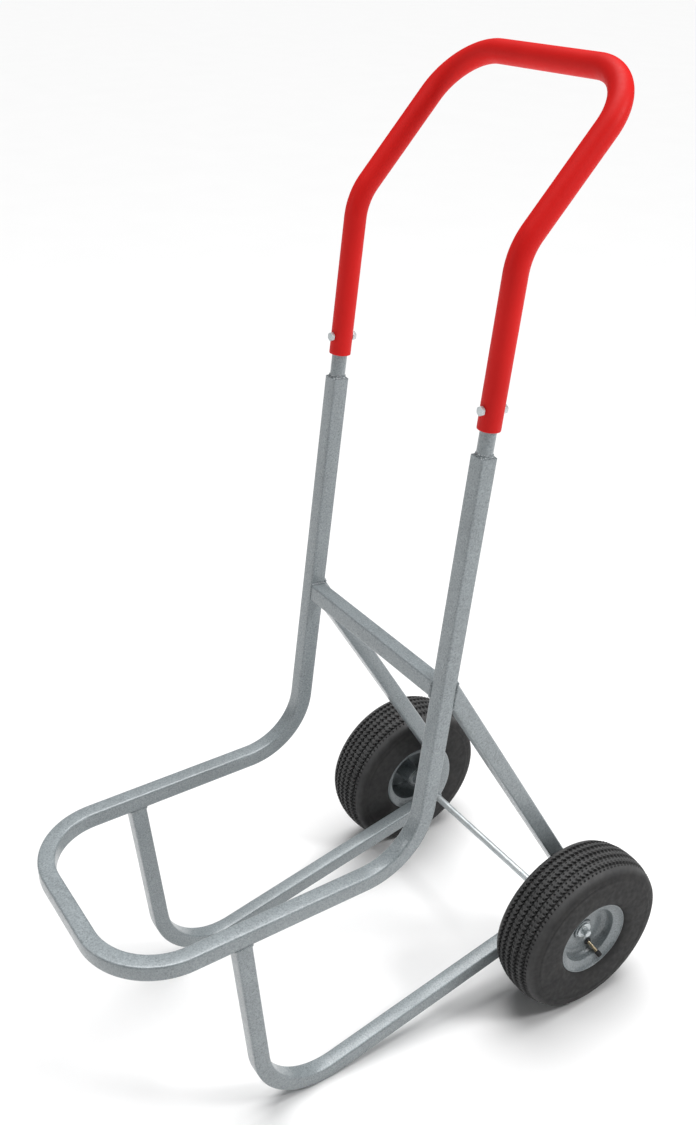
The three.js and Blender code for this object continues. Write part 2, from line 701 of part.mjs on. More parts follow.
function rimHalf(side, face) {
  const sheet = wheelRevolve(side, sheetOutline(face, RIM_SHEET), RIM_SEGMENTS);
  const discHole = drill(onValve(side, 0), valveDirection(side), VALVE_HOLE, 8 * RIM_SHEET);
  const seatHole = drill(valvePoint(side, 0, RIM_SEAT_RADIUS), VALVE_RADIAL, VALVE_HOLE, 5 * RIM_SHEET);
  return atWheel(side, cut(sheet, discHole, seatHole));
}

function hub(side) {
  return axleRing(side, HUB_INBOARD, HUB_OUTBOARD, HUB_RADIUS - HUB_WALL, HUB_RADIUS, 24);
}

function bearing(side, from) {
  const outside = HUB_RADIUS - HUB_WALL - CLEARANCE;
  return axleRing(side, from, from + BEARING_LENGTH, AXLE_RADIUS + BEARING_PLAY, outside, 24);
}

// ---- valve --------------------------------------------------------------------------------------

const STEM_ROOT = RIM_SEAT_RADIUS + 3.7;
const CAP_END = STEM_LENGTH + 3;
const CAP_OUTSIDE = [
  [CAP_END - CAP_LENGTH, VALVE_CAP - 0.5],
  [CAP_END - CAP_LENGTH + 1.5, VALVE_CAP],
  [CAP_END - 2, VALVE_CAP],
  [CAP_END, VALVE_CAP - 1.2],
];
const VALVE_TURN = THREE.MathUtils.degToRad(VALVE_ANGLE);
const VALVE_TILT = THREE.MathUtils.degToRad(VALVE_LEAN);
const VALVE_RADIAL = new THREE.Vector3(0, Math.cos(VALVE_TURN), Math.sin(VALVE_TURN));

// Point in the plane of a wheel's valve, from the wheel's own centre.
function valvePoint(side, x, r) {
  return VALVE_RADIAL.clone().multiplyScalar(r).setX(side * x);
}

function valveDirection(side) {
  return valvePoint(side, Math.cos(VALVE_TILT), Math.sin(VALVE_TILT));
}

// Point on the valve's axis a distance out from the rim's disc.
function onValve(side, distance) {
  return valvePoint(side, RIM_JOINT, VALVE_RADIUS).addScaledVector(valveDirection(side), distance);
}

// From the inner tube through the rim's seat, then bent to run out through the disc.
function valveStem(side) {
  const turnRadius = VALVE_RADIUS - RIM_JOINT * Math.tan(VALVE_TILT);
  const corners = [
    valvePoint(side, 0, STEM_ROOT),
    valvePoint(side, 0, turnRadius),
    onValve(side, STEM_LENGTH),
  ];
  const across = new THREE.Vector3().crossVectors(X_AXIS, VALVE_RADIAL);
  return atWheel(side, sweep(roundedPath(corners, [VALVE_BEND]), circleLoop(VALVE_STEM, 8), null, across));
}

// Rubber collar on the rim's disc, bored along the valve.
function valveGrommet(side) {
  const foot = RIM_JOINT + RIM_SHEET + 2 * CLEARANCE;
  const outline = [[side * foot, GROMMET_FOOT], [side * (foot + GROMMET_LENGTH), GROMMET_NECK]];
  const solid = revolveSolid(side > 0 ? outline : outline.reverse(), TUBE_SIDES);
  const middle = onValve(side, (foot + GROMMET_LENGTH / 2 - RIM_JOINT) / Math.cos(VALVE_TILT));
  solid.translate(0, middle.y, middle.z);
  const bore = drill(middle, valveDirection(side), VALVE_STEM + CLEARANCE, 8 * GROMMET_LENGTH);
  return atWheel(side, cut(solid, bore));
}

// Solid of revolution about the valve's axis, from an outline of (distance from the disc, radius).
function turnedOnValve(side, outline) {
  const turn = new THREE.Quaternion().setFromUnitVectors(X_AXIS, valveDirection(side));
  const start = onValve(side, 0);
  return revolveSolid(outline, TUBE_SIDES).applyQuaternion(turn).translate(start.x, start.y, start.z);
}

function valveCap(side) {
  const bore = VALVE_STEM + CLEARANCE;
  const solid = turnedOnValve(side, CAP_OUTSIDE);
  const inside = turnedOnValve(side, [[CAP_OUTSIDE[0][0] - 1, bore], [STEM_LENGTH + CLEARANCE, bore]]);
  return atWheel(side, cut(solid, inside));
}

// ---- assembly ------------------------------------------------------------------------------------

add('main_frame', mainFrame(), 'frame');
add('crossbar', crossbar(), 'frame');
add('handle_tube', handleTube(), 'frame');
add('handle_grip', handleGrip(), 'grip');
add('axle', axle(), 'zinc');

for (const [label, side] of Object.entries(SIDES)) {
  add(`side_tube_${label}`, sideTube(side), 'frame');
  add(`handle_stub_${label}`, stub(side), 'frame');
  add(`handle_bolt_${label}`, handleBolt(side), 'zinc');
  add(`handle_nut_${label}`, handleNut(side), 'zinc');
  add(`axle_bushing_${label}`, axleBushing(side), 'frame');
  add(`washer_inner_${label}`, washer(side, WASHER_INBOARD), 'zinc');
  add(`washer_outer_${label}`, washer(side, WASHER_OUTBOARD), 'zinc');
  add(`cotter_pin_${label}`, cotterPin(side), 'zinc');
  add(`tyre_${label}`, tyre(side), 'tyre');
  add(`inner_tube_${label}`, innerTube(side), 'rubber');
  add(`rim_outboard_${label}`, rimHalf(side, RIM_OUTBOARD), 'rim');
  add(`rim_inboard_${label}`, rimHalf(side, RIM_INBOARD), 'rim');
  add(`hub_${label}`, hub(side), 'rim');
  add(`bearing_inner_${label}`, bearing(side, HUB_INBOARD + BEARING_INSET), 'zinc');
  add(`bearing_outer_${label}`, bearing(side, HUB_OUTBOARD - BEARING_INSET - BEARING_LENGTH), 'zinc');
  add(`valve_stem_${label}`, valveStem(side), 'brass');
  add(`valve_grommet_${label}`, valveGrommet(side), 'rubber');
  add(`valve_cap_${label}`, valveCap(side), 'rubber');
}

export default group;
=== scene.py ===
import math

import bmesh
import bpy
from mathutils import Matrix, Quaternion, Vector


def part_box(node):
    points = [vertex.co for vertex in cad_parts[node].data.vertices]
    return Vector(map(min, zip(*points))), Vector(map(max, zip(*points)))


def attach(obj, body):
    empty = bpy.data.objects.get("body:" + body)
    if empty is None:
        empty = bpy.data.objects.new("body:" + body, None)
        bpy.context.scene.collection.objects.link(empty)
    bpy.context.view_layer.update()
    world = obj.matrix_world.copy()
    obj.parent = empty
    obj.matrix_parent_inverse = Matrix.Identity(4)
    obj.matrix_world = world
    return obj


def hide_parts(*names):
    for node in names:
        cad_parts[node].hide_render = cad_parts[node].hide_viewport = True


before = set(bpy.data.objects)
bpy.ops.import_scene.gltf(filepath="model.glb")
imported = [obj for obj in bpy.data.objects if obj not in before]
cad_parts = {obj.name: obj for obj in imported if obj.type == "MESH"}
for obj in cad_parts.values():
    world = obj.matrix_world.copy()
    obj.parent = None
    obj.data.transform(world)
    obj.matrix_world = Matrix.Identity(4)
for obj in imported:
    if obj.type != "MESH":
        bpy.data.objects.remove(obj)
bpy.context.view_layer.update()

X_AXIS = Vector((1, 0, 0))
UP = Vector((0, 0, 1))
SIDES = {"left": -1, "right": 1}

# ---- sizes that the frame's boxes don't give, in metres ------------------------------------------

LEAN = math.radians(7.4)
UPRIGHT_BEND = 0.101
PLATFORM_CORNER = 0.103
LEG_TOP_SETBACK = 0.173
LEG_FOOT_SETBACK = 0.302
LEG_FOOT_BEND = 0.108
CROOK_BEND = 0.074
CROOK_ANGLE = math.radians(35)
BRACE_TOP_HEIGHT = 0.647
TUBE_WALL = 0.0015
TUBE_CORNER = 0.0032

HANDLE_END_GAP = 0.034
HANDLE_BEND_HEIGHT = 1.212
HANDLE_TOP_HEIGHT = 1.389
HANDLE_REACH = 0.168
HANDLE_LOWER_BEND = 0.080
HANDLE_CORNER = 0.076
HANDLE_TUBE_RADIUS = 0.0125
GRIP_RADIUS = 0.0152
GRIP_BORE = 0.0128
GRIP_LIP = 0.0016
LIP_STEPS = 4
STUB_RADIUS = 0.0107
STUB_IN_FRAME = 0.060
STUB_IN_HANDLE = 0.095
BOLT_ABOVE_END = 0.025
BOLT_SEAT = 0.0155

CLEARANCE = 0.0003
BEND_STEP = math.radians(3)
NEARLY_STRAIGHT = math.radians(88)
SHARE_OF_SIDE = 0.45
TOO_SHORT = 1e-7

# ---- places read from the frame ------------------------------------------------------------------


def middle(node):
    low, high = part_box(node)
    return (low + high) / 2


def half_height(node):
    low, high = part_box(node)
    return (high.z - low.z) / 2


side_low, side_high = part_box("side_tube_right")
frame_low, frame_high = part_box("main_frame")
TUBE = side_high.x - side_low.x
HALF_TUBE = TUBE / 2
HALF_SPAN = middle("side_tube_right").x
RAIL_HEIGHT = frame_low.z + HALF_TUBE
FRONT_Y = frame_low.y + HALF_TUBE
UPRIGHT_TOP = frame_high.z - HALF_TUBE * math.sin(LEAN)
CORNER_Y = frame_high.y - HALF_TUBE * math.cos(LEAN) - (UPRIGHT_TOP - RAIL_HEIGHT) * math.tan(LEAN)
AXLE = middle("axle")
AXLE_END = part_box("axle")[1].x
BUSHING_RADIUS = half_height("axle_bushing_right")
WHEEL_CENTRE = middle("tyre_right").x
TYRE_RADIUS = half_height("tyre_right")
UPRIGHT_DIRECTION = Vector((0, math.sin(LEAN), math.cos(LEAN)))
UPRIGHT_REARWARD = Vector((0, math.cos(LEAN), -math.sin(LEAN)))


def on_upright(side, z):
    return Vector((side * HALF_SPAN, CORNER_Y + (z - RAIL_HEIGHT) * math.tan(LEAN), z))


def past_upright_top(side, distance):
    return on_upright(side, UPRIGHT_TOP) + UPRIGHT_DIRECTION * distance


# ---- materials -----------------------------------------------------------------------------------


class Nodes:
    """Small helper that adds shader nodes and links them."""

    def __init__(self, name):
        self.material = bpy.data.materials.new(name)
        self.material.use_nodes = True
        self.tree = self.material.node_tree
        self.shader = self.tree.nodes["Principled BSDF"]
        self.place = self.add("ShaderNodeTexCoord").outputs["Object"]

    def add(self, kind, **settings):
        node = self.tree.nodes.new(kind)
        for key, value in settings.items():
            setattr(node, key, value)
        return node

    def link(self, output, socket):
        self.tree.links.new(output, socket)

    def noise(self, scale, detail=2.0, stretch=None, roughness=0.5):
        node = self.add("ShaderNodeTexNoise")
        node.inputs["Scale"].default_value = scale
        node.inputs["Detail"].default_value = detail
        node.inputs["Roughness"].default_value = roughness
        place = self.place
        if stretch:
            mapping = self.add("ShaderNodeMapping")
            mapping.inputs["Scale"].default_value = stretch
            self.link(place, mapping.inputs["Vector"])
            place = mapping.outputs["Vector"]
        self.link(place, node.inputs["Vector"])
        return node.outputs["Fac"]

    def ramp(self, value, stops):
        node = self.add("ShaderNodeValToRGB")
        elements = node.color_ramp.elements
        while len(elements) < len(stops):
            elements.new(0.5)
        for element, (position, colour) in zip(elements, stops):
            element.position = position
            element.color = (*colour, 1)
        self.link(value, node.inputs["Fac"])
        return node.outputs["Color"]

    def mix(self, factor, a, b):
        node = self.add("ShaderNodeMix", data_type="RGBA")
        self.link(factor, node.inputs["Factor"])
        self.link(a, node.inputs["A"])
        self.link(b, node.inputs["B"])
        return node.outputs["Result"]

    def spread(self, value, low, high, start=0.3, end=0.7):
        node = self.add("ShaderNodeMapRange")
        node.inputs["From Min"].default_value = start
        node.inputs["From Max"].default_value = end
        node.inputs["To Min"].default_value = low
        node.inputs["To Max"].default_value = high
        self.link(value, node.inputs["Value"])
        return node.outputs["Result"]

    def bump(self, *layers):
        """Each layer is (height output, distance in metres, strength)."""
        normal = None
        for height, distance, strength in layers:
            node = self.add("ShaderNodeBump")
            node.inputs["Distance"].default_value = distance
            node.inputs["Strength"].default_value = strength
            self.link(height, node.inputs["Height"])
            if normal:
                self.link(normal, node.inputs["Normal"])
            normal = node.outputs["Normal"]
        self.link(normal, self.shader.inputs["Normal"])

    def drive(self, **outputs):
        for key, output in outputs.items():
            self.link(output, self.shader.inputs[key.replace("_", " ")])

    def set(self, **values):
        for key, value in values.items():
            self.shader.inputs[key.replace("_", " ")].default_value = value


def grey(level, tint=(1, 1, 1)):
    return tuple(level * t for t in tint)


COOL = (0.89, 1.0, 1.05)


def coated_steel(name, dark, light, metallic, roughness):
    """Silver coating: a soft mottle, coarse flakes, uneven gloss, shallow dents and an orange peel."""
    n = Nodes(name)
    mottle = n.noise(16, 4)
    flakes = n.noise(430, 3, roughness=0.7)
    cloud = n.ramp(mottle, [(0.3, grey(dark, COOL)), (0.7, grey(light, COOL))])
    speckle = n.ramp(
        flakes,
        [(0.30, grey(dark * 0.45, COOL)), (0.5, grey(light, COOL)), (0.72, grey(light * 1.5, COOL))],
    )
    amount = n.spread(n.noise(90, 2), 0.35, 0.75)
    wear = n.noise(60, 5, roughness=0.7)
    n.drive(
        Base_Color=n.mix(amount, cloud, speckle),
        Roughness=n.spread(wear, roughness - 0.08, roughness + 0.12),
    )
    peel = n.noise(420, 2)
    dents = n.noise(45, 3)
    n.bump((dents, 0.0006, 0.3), (peel, 0.0002, 0.6))
    n.set(Metallic=metallic, Coat_Weight=0.5, Coat_Roughness=0.14)
    return n.material


def grip_plastic():
    """Red plastic, a little uneven, with scuffs and a fine grain."""
    n = Nodes("grip_sleeve")
    cloud = n.noise(9, 4)
    scuff = n.noise(180, 5, roughness=0.75)
    n.drive(
        Base_Color=n.ramp(cloud, [(0.3, (0.66, 0.011, 0.010)), (0.7, (0.75, 0.015, 0.013))]),
        Roughness=n.spread(scuff, 0.42, 0.6),
    )
    grain = n.noise(700, 2)
    waves = n.noise(28, 2)
    n.bump((waves, 0.0004, 0.2), (grain, 0.0001, 0.5))
    n.set(Specular_IOR_Level=0.15)
    return n.material


def zinc_plate():
    """Bright plating with a dull bloom and turning marks across the axle's line."""
    n = Nodes("zinc_plate")
    bloom = n.noise(70, 4)
    tones = [(0.3, (0.50, 0.54, 0.56)), (0.6, (0.64, 0.68, 0.69)), (0.8, (0.66, 0.68, 0.65))]
    n.drive(Base_Color=n.ramp(bloom, tones), Roughness=n.spread(n.noise(260, 4), 0.32, 0.5))
    turning = n.noise(500, 2, stretch=(4, 1, 1))
    n.bump((turning, 0.00006, 0.5))
    n.set(Metallic=0.7)
    return n.material


WEAR_STARTS = 0.016
WEAR_IS_FULL = 0.008


def distance_from_axle(n):
    flat = n.add("ShaderNodeVectorMath", operation="MULTIPLY")
    flat.inputs[1].default_value = (0, 1, 1)
    n.link(n.place, flat.inputs[0])
    reach = n.add("ShaderNodeVectorMath", operation="DISTANCE")
    reach.inputs[1].default_value = (0, AXLE.y, AXLE.z)
    n.link(flat.outputs["Vector"], reach.inputs[0])
    return reach.outputs["Value"]


def tyre_rubber():
    """Dark side walls, and a tread that use has greyed. Distance from the axle tells the two apart."""
    n = Nodes("tyre_rubber")
    dust = n.noise(40, 5, roughness=0.65)
    clean = n.ramp(dust, [(0.3, (0.020, 0.020, 0.021)), (0.7, (0.031, 0.030, 0.029))])
    worn = n.ramp(dust, [(0.3, (0.050, 0.050, 0.051)), (0.7, (0.070, 0.070, 0.070))])
    start, end = TYRE_RADIUS - WEAR_STARTS, TYRE_RADIUS - WEAR_IS_FULL
    tread = n.spread(distance_from_axle(n), 0, 1, start, end)
    n.drive(Base_Color=n.mix(tread, clean, worn), Roughness=n.spread(n.noise(120, 4), 0.62, 0.85))
    grain = n.noise(1100, 3)
    mould = n.noise(90, 3)
    n.bump((mould, 0.0003, 0.35), (grain, 0.00012, 0.6))
    n.set(Specular_IOR_Level=0.35)
    return n.material


def black_rubber(name, level, roughness):
    """Plain rubber, cloudy and finely grained."""
    n = Nodes(name)
    cloud = n.noise(150, 4)
    n.drive(
        Base_Color=n.ramp(cloud, [(0.3, grey(level)), (0.7, grey(level * 1.7))]),
        Roughness=n.spread(n.noise(400, 3), roughness - 0.08, roughness + 0.1),
    )
    n.bump((n.noise(1600, 2), 0.00005, 0.5))
    return n.material


def turned_brass():
    """Dull brass with tarnish."""
    n = Nodes("turned_brass")
    tarnish = n.noise(220, 4)
    n.drive(
        Base_Color=n.ramp(tarnish, [(0.3, (0.36, 0.28, 0.17)), (0.7, (0.52, 0.44, 0.30))]),
        Roughness=n.spread(n.noise(500, 3), 0.25, 0.42),
    )
    n.bump((n.noise(1800, 2), 0.00003, 0.5))
    n.set(Metallic=0.95)
    return n.material


def studio_floor():
    """Matt and nearly white."""
    n = Nodes("studio_floor")
    n.drive(Base_Color=n.ramp(n.noise(3, 3), [(0.3, grey(0.885)), (0.7, grey(0.895))]))
    n.set(Roughness=0.9)
    return n.material


MATERIALS = {
    "frame": coated_steel("frame_coating", 0.25, 0.31, 0.15, 0.38),
    "rim": coated_steel("rim_coating", 0.20, 0.26, 0.15, 0.40),
    "grip": grip_plastic(),
    "zinc": zinc_plate(),
    "tyre": tyre_rubber(),
    "rubber": black_rubber("black_rubber", 0.012, 0.55),
    "brass": turned_brass(),
}

# ---- shapes: each is (vertices, faces) -----------------------------------------------------------


def joined(*shapes):
    vertices, faces = [], []
    for shape_vertices, shape_faces in shapes:
        start = len(vertices)
        vertices.extend(shape_vertices)
        faces.extend([tuple(i + start for i in face) for face in shape_faces])
    return vertices, faces


def circle_loop(radius, sides, phase=0.5):
    steps = [2 * math.pi * (i + phase) / sides for i in range(sides)]
    return [(radius * math.cos(a), radius * math.sin(a)) for a in steps]


def rectangle_loop(width, height, corner, per_corner):
    """Rectangle with rounded corners of so many points each."""
    loop = []
    for quarter in range(4):
        centre = math.pi / 4 + quarter * math.pi / 2
        cx = math.copysign(width / 2 - corner, math.cos(centre))
        cy = math.copysign(height / 2 - corner, math.sin(centre))
        for i in range(per_corner):
            a = centre - math.pi / 4 + (math.pi / 2) * i / (per_corner - 1)
            loop.append((cx + corner * math.cos(a), cy + corner * math.sin(a)))
    return loop


def rounded_path(corners, radii, step=BEND_STEP):
    """Stations (point, tangent) along a polyline whose inner corners are rounded."""
    corners = [Vector(c) for c in corners]
    directions = [(b - a).normalized() for a, b in zip(corners, corners[1:])]
    stations = [(corners[0], directions[0])]
    for i, radius in enumerate(radii, start=1):
        arriving, leaving = directions[i - 1], directions[i]
        turn = arriving.angle(leaving)
        inward = (leaving - arriving * arriving.dot(leaving)).normalized()
        start = corners[i] - arriving * radius * math.tan(turn / 2)
        centre = start + inward * radius
        steps = max(2, math.ceil(turn / step))
        for k in range(steps + 1):
            a = turn * k / steps
            point = centre - inward * radius * math.cos(a) + arriving * radius * math.sin(a)
            stations.append((point, arriving * math.cos(a) + inward * math.sin(a)))
    stations.append((corners[-1], directions[-1]))
    return stations


def ring_faces(count, rings, closed=False):
    faces = []
    for s in range(rings if closed else rings - 1):
        a, b = s * count, ((s + 1) % rings) * count
        faces += [(a + i, a + (i + 1) % count, b + (i + 1) % count, b + i) for i in range(count)]
    return faces


def end_caps(count, rings):
    return [tuple(range(count)), tuple(range((rings - 1) * count, rings * count))]


def sweep_loop(stations, loop, side, scale=None, end_normals=(None, None)):
    """Vertices of one loop carried along stations. scale(station's number) can swell or pinch it."""
    axis = Vector(side)
    vertices = []
    last = len(stations) - 1
    for s, (point, tangent) in enumerate(stations):
        if s:
            axis = stations[s - 1][1].rotation_difference(tangent) @ axis
        up = tangent.cross(axis)
        k = scale(s) if scale else 1
        cut = end_normals[0] if s == 0 else end_normals[1] if s == last else None
        for x, y in loop:
            vertex = point + axis * (x * k) + up * (y * k)
            if cut:
                vertex += tangent * ((point - vertex).dot(cut) / tangent.dot(cut))
            vertices.append(vertex)
    return vertices


def bar(stations, loop, side):
    """Solid of one loop with flat ends."""
    count, rings = len(loop), len(stations)
    return sweep_loop(stations, loop, side), ring_faces(count, rings) + end_caps(count, rings)


def tube(stations, outer, inner, side, scale=None, end_normals=(None, None)):
    """Hollow tube; both loops have the same number of points, and scale works on the outer one."""
    vertices = sweep_loop(stations, outer, side, scale, end_normals)
    vertices += sweep_loop(stations, inner, side, end_normals=end_normals)
    count, rings = len(outer), len(stations)
    inside = count * rings
    faces = ring_faces(count, rings)
    faces += [tuple(inside + i for i in face) for face in ring_faces(count, rings)]
    for first in (0, (rings - 1) * count):
        for i in range(count):
            j = (i + 1) % count
            faces.append((first + i, first + j, inside + first + j, inside + first + i))
    return vertices, faces


def fillet(points, radius, steps=4, closed=True):
    """Rounds the corners of an outline, as far as the sides next to each corner allow."""
    points = [Vector(p) for p in points]
    count = len(points)
    rounded = []
    for i, corner in enumerate(points):
        if not closed and i in (0, count - 1):
            rounded.append(tuple(corner))
            continue
        before = points[i - 1] - corner
        after = points[(i + 1) % count] - corner
        half = before.angle(after) / 2
        room = SHARE_OF_SIDE * min(before.length, after.length)
        reach = min(radius / math.tan(half), room)
        if half > NEARLY_STRAIGHT or reach < TOO_SHORT:
            rounded.append(tuple(corner))
            continue
        start = corner + before.normalized() * reach
        end = corner + after.normalized() * reach
        for k in range(steps + 1):
            t = k / steps
            bend = start * (1 - t) ** 2 + corner * (2 * t * (1 - t)) + end * t**2
            rounded.append(tuple(bend))
    return rounded


def revolve(outline, segments, centre, side=1, swing=None):
    """Ring of revolution about X. The outline is (distance along X, radius), side mirrors it in X."""
    vertices = []
    for s in range(segments):
        a = 2 * math.pi * s / segments
        for i, (x, r) in enumerate(outline):
            if swing:
                x, r = swing(i, s, x, r)
            vertices.append(centre + Vector((side * x, r * math.cos(a), r * math.sin(a))))
    return vertices, ring_faces(len(outline), segments, closed=True)


def lathe(outline, segments, centre, side=1):
    """Solid of revolution about X; the outline's first and last points get flat caps."""
    vertices = []
    for x, r in outline:
        for dy, dz in circle_loop(r, segments, 0):
            vertices.append(centre + Vector((side * x, dy, dz)))
    return vertices, ring_faces(segments, len(outline)) + end_caps(segments, len(outline))


def piece(name, shape, slot, body, *nodes, crease=32):
    """Makes a mesh object, faces it outward, ties it to its body, gives it the slot's material, and
    hides the CAD nodes that it stands in for.
    """
    vertices, faces = shape
    mesh = bpy.data.meshes.new(name)
    mesh.from_pydata(vertices, [], faces)
    sheet = bmesh.new()
    sheet.from_mesh(mesh)
    bmesh.ops.recalc_face_normals(sheet, faces=sheet.faces)
    sheet.to_mesh(mesh)
    sheet.free()
    mesh.shade_smooth()
    mesh.set_sharp_from_angle(angle=math.radians(crease))
    mesh.materials.append(MATERIALS[slot])
    made = bpy.data.objects.new(name, mesh)
    bpy.context.scene.collection.objects.link(made)
    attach(made, body)
    if nodes:
        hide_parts(*nodes)
    return made


# ---- frame ---------------------------------------------------------------------------------------

CORNER_POINTS = 6
TUBE_INSIDE = TUBE - 2 * TUBE_WALL
SQUARE_OUTER = rectangle_loop(TUBE, TUBE, TUBE_CORNER, CORNER_POINTS)
SQUARE_INNER = rectangle_loop(TUBE_INSIDE, TUBE_INSIDE, TUBE_CORNER - TUBE_WALL, CORNER_POINTS)


def main_frame():
    corners = [
        on_upright(1, UPRIGHT_TOP),
        on_upright(1, RAIL_HEIGHT),
        (HALF_SPAN, FRONT_Y, RAIL_HEIGHT),
        (-HALF_SPAN, FRONT_Y, RAIL_HEIGHT),
        on_upright(-1, RAIL_HEIGHT),
        on_upright(-1, UPRIGHT_TOP),
    ]
    radii = [UPRIGHT_BEND, PLATFORM_CORNER, PLATFORM_CORNER, UPRIGHT_BEND]
    return tube(rounded_path(corners, radii), SQUARE_OUTER, SQUARE_INNER, X_AXIS)


def crossbar():
    place = middle("crossbar")
    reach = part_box("crossbar")[1].x
    stations = [(Vector((x, place.y, place.z)), X_AXIS) for x in (-reach, reach)]
    return tube(stations, SQUARE_OUTER, SQUARE_INNER, UPRIGHT_REARWARD)


def belt_corners(start, circles, end):
    """Corners of a line pulled tight round circles in the YZ plane, which lie on its left."""
    wraps = [(Vector(start), 0), *circles, (Vector(end), 0)]
    normals = []
    for (a, ra), (b, rb) in zip(wraps, wraps[1:]):
        along = (b - a).normalized()
        sine = (ra - rb) / (b - a).length
        outward = Vector((along.y, -along.x))
        normals.append(along * sine + outward * math.sqrt(1 - sine * sine))
    corners = []
    for (centre, radius), n1, n2 in zip(circles, normals, normals[1:]):
        corners.append(centre + (n1 + n2) * (radius / (1 + n1.dot(n2))))
    return [Vector(start), *corners, Vector(end)]


def slide_to_plane(start, towards, plane_point, normal):
    line = towards - start
    return start + line * ((plane_point - start).dot(normal) / line.dot(normal))


def side_tube_path(side):
    foot = (Vector((FRONT_Y + LEG_FOOT_SETBACK, LEG_FOOT_BEND + HALF_TUBE)), LEG_FOOT_BEND)
    reach = CROOK_BEND - HALF_TUBE - CLEARANCE - BUSHING_RADIUS
    crook_centre = (AXLE.y - reach * math.cos(CROOK_ANGLE), AXLE.z + reach * math.sin(CROOK_ANGLE))
    crook = (Vector(crook_centre), CROOK_BEND)
    top = on_upright(side, BRACE_TOP_HEIGHT)
    path = belt_corners((FRONT_Y + LEG_TOP_SETBACK, RAIL_HEIGHT), [foot, crook], (top.y, top.z))
    corners = [Vector((side * HALF_SPAN, p.x, p.y)) for p in path]
    under_rail = Vector((0, 0, RAIL_HEIGHT - HALF_TUBE - CLEARANCE))
    behind_upright = top + UPRIGHT_REARWARD * (HALF_TUBE + CLEARANCE)
    corners[0] = slide_to_plane(corners[0], corners[1], under_rail, -UP)
    corners[3] = slide_to_plane(corners[3], corners[2], behind_upright, UPRIGHT_REARWARD)
    return corners


def side_tube(side):
    stations = rounded_path(side_tube_path(side), [LEG_FOOT_BEND, CROOK_BEND])
    return tube(stations, SQUARE_OUTER, SQUARE_INNER, X_AXIS, end_normals=(-UP, UPRIGHT_REARWARD))


# ---- weld beads ----------------------------------------------------------------------------------

BEAD_RADIUS = 0.0021
BEAD_SIDES = 10
RIPPLE_PITCH = 0.0034
STEPS_PER_RIPPLE = 5
RIPPLE_LOW = 0.82
RIPPLE_RISE = 0.3
RIPPLE_POWER = 0.7
WOBBLE = 0.12
MOSTLY_ALONG_X = 0.9
BEAD_SPREAD = 0.0008
BEAD_INSET = 0.0016
CROSSBAR_BEAD_INSET = 0.001
BEAD_CORNER_POINTS = 5
BUSHING_BEAD_RADIUS = 0.0024
BUSHING_BEAD_REACH = 0.0115
BUSHING_BEAD_TURN = math.radians(42)
BUSHING_BEAD_LIFT = 0.0004


def evenly_along(points, steps, count):
    """The first count points when a line of points is divided into equal steps."""
    lengths = [(b - a).length for a, b in zip(points, points[1:])]
    total = sum(lengths)
    spots = []
    for s in range(count):
        want = total * s / steps
        i = 0
        while i < len(lengths) - 1 and want > lengths[i]:
            want -= lengths[i]
            i += 1
        spots.append(points[i] + (points[i + 1] - points[i]) * (want / lengths[i]))
    return spots


def bead_along(points, radius=BEAD_RADIUS, closed=True):
    """A rippled bead of weld along a line of points."""
    if closed:
        points = [*points, points[0]]
    total = sum((b - a).length for a, b in zip(points, points[1:]))
    ripples = max(4, round(total / RIPPLE_PITCH))
    steps = ripples * STEPS_PER_RIPPLE
    spots = evenly_along(points, steps, steps if closed else steps + 1)
    vertices = []
    for s, point in enumerate(spots):
        after = spots[(s + 1) % len(spots)] if closed or s + 1 < len(spots) else point
        before = spots[s - 1] if closed or s else point
        tangent = (after - before).normalized()
        phase = (s * ripples / steps) % 1
        swell = radius * (RIPPLE_LOW + RIPPLE_RISE * math.sin(math.pi * phase) ** RIPPLE_POWER)
        wobble = radius * WOBBLE * math.sin(s * 1.7) * math.cos(s * 0.61)
        axis = tangent.orthogonal() if abs(tangent.x) > MOSTLY_ALONG_X else tangent.cross(X_AXIS)
        axis.normalize()
        up = tangent.cross(axis)
        for x, y in circle_loop(1, BEAD_SIDES):
            vertices.append(point + axis * (x * swell + wobble) + up * (y * swell))
    faces = ring_faces(BEAD_SIDES, len(spots), closed=closed)
    if not closed:
        faces += end_caps(BEAD_SIDES, len(spots))
    return vertices, faces


def bead_round(centre, u, v, width_u, width_v):
    """Bead round a square tube's end, in the plane of u and v."""
    loop = rectangle_loop(width_u, width_v, TUBE_CORNER, BEAD_CORNER_POINTS)
    return bead_along([centre + u * x + v * y for x, y in loop])


def crossbar_weld(side):
    place = middle("crossbar")
    centre = Vector((side * (HALF_SPAN - HALF_TUBE), place.y, place.z))
    width, height = TUBE - CROSSBAR_BEAD_INSET, TUBE + BEAD_SPREAD
    return bead_round(centre, UPRIGHT_REARWARD, UPRIGHT_DIRECTION, width, height)


def leg_weld(side):
    top = side_tube_path(side)[0]
    return bead_round(top, X_AXIS, Vector((0, 1, 0)), TUBE - BEAD_INSET, TUBE + BEAD_SPREAD)


def brace_weld(side):
    corners = side_tube_path(side)
    slope = (corners[2] - corners[3]).normalized()
    length = TUBE / abs(slope.dot(UPRIGHT_REARWARD)) + BEAD_SPREAD
    return bead_round(corners[3], X_AXIS, UPRIGHT_DIRECTION, TUBE - BEAD_INSET, length)


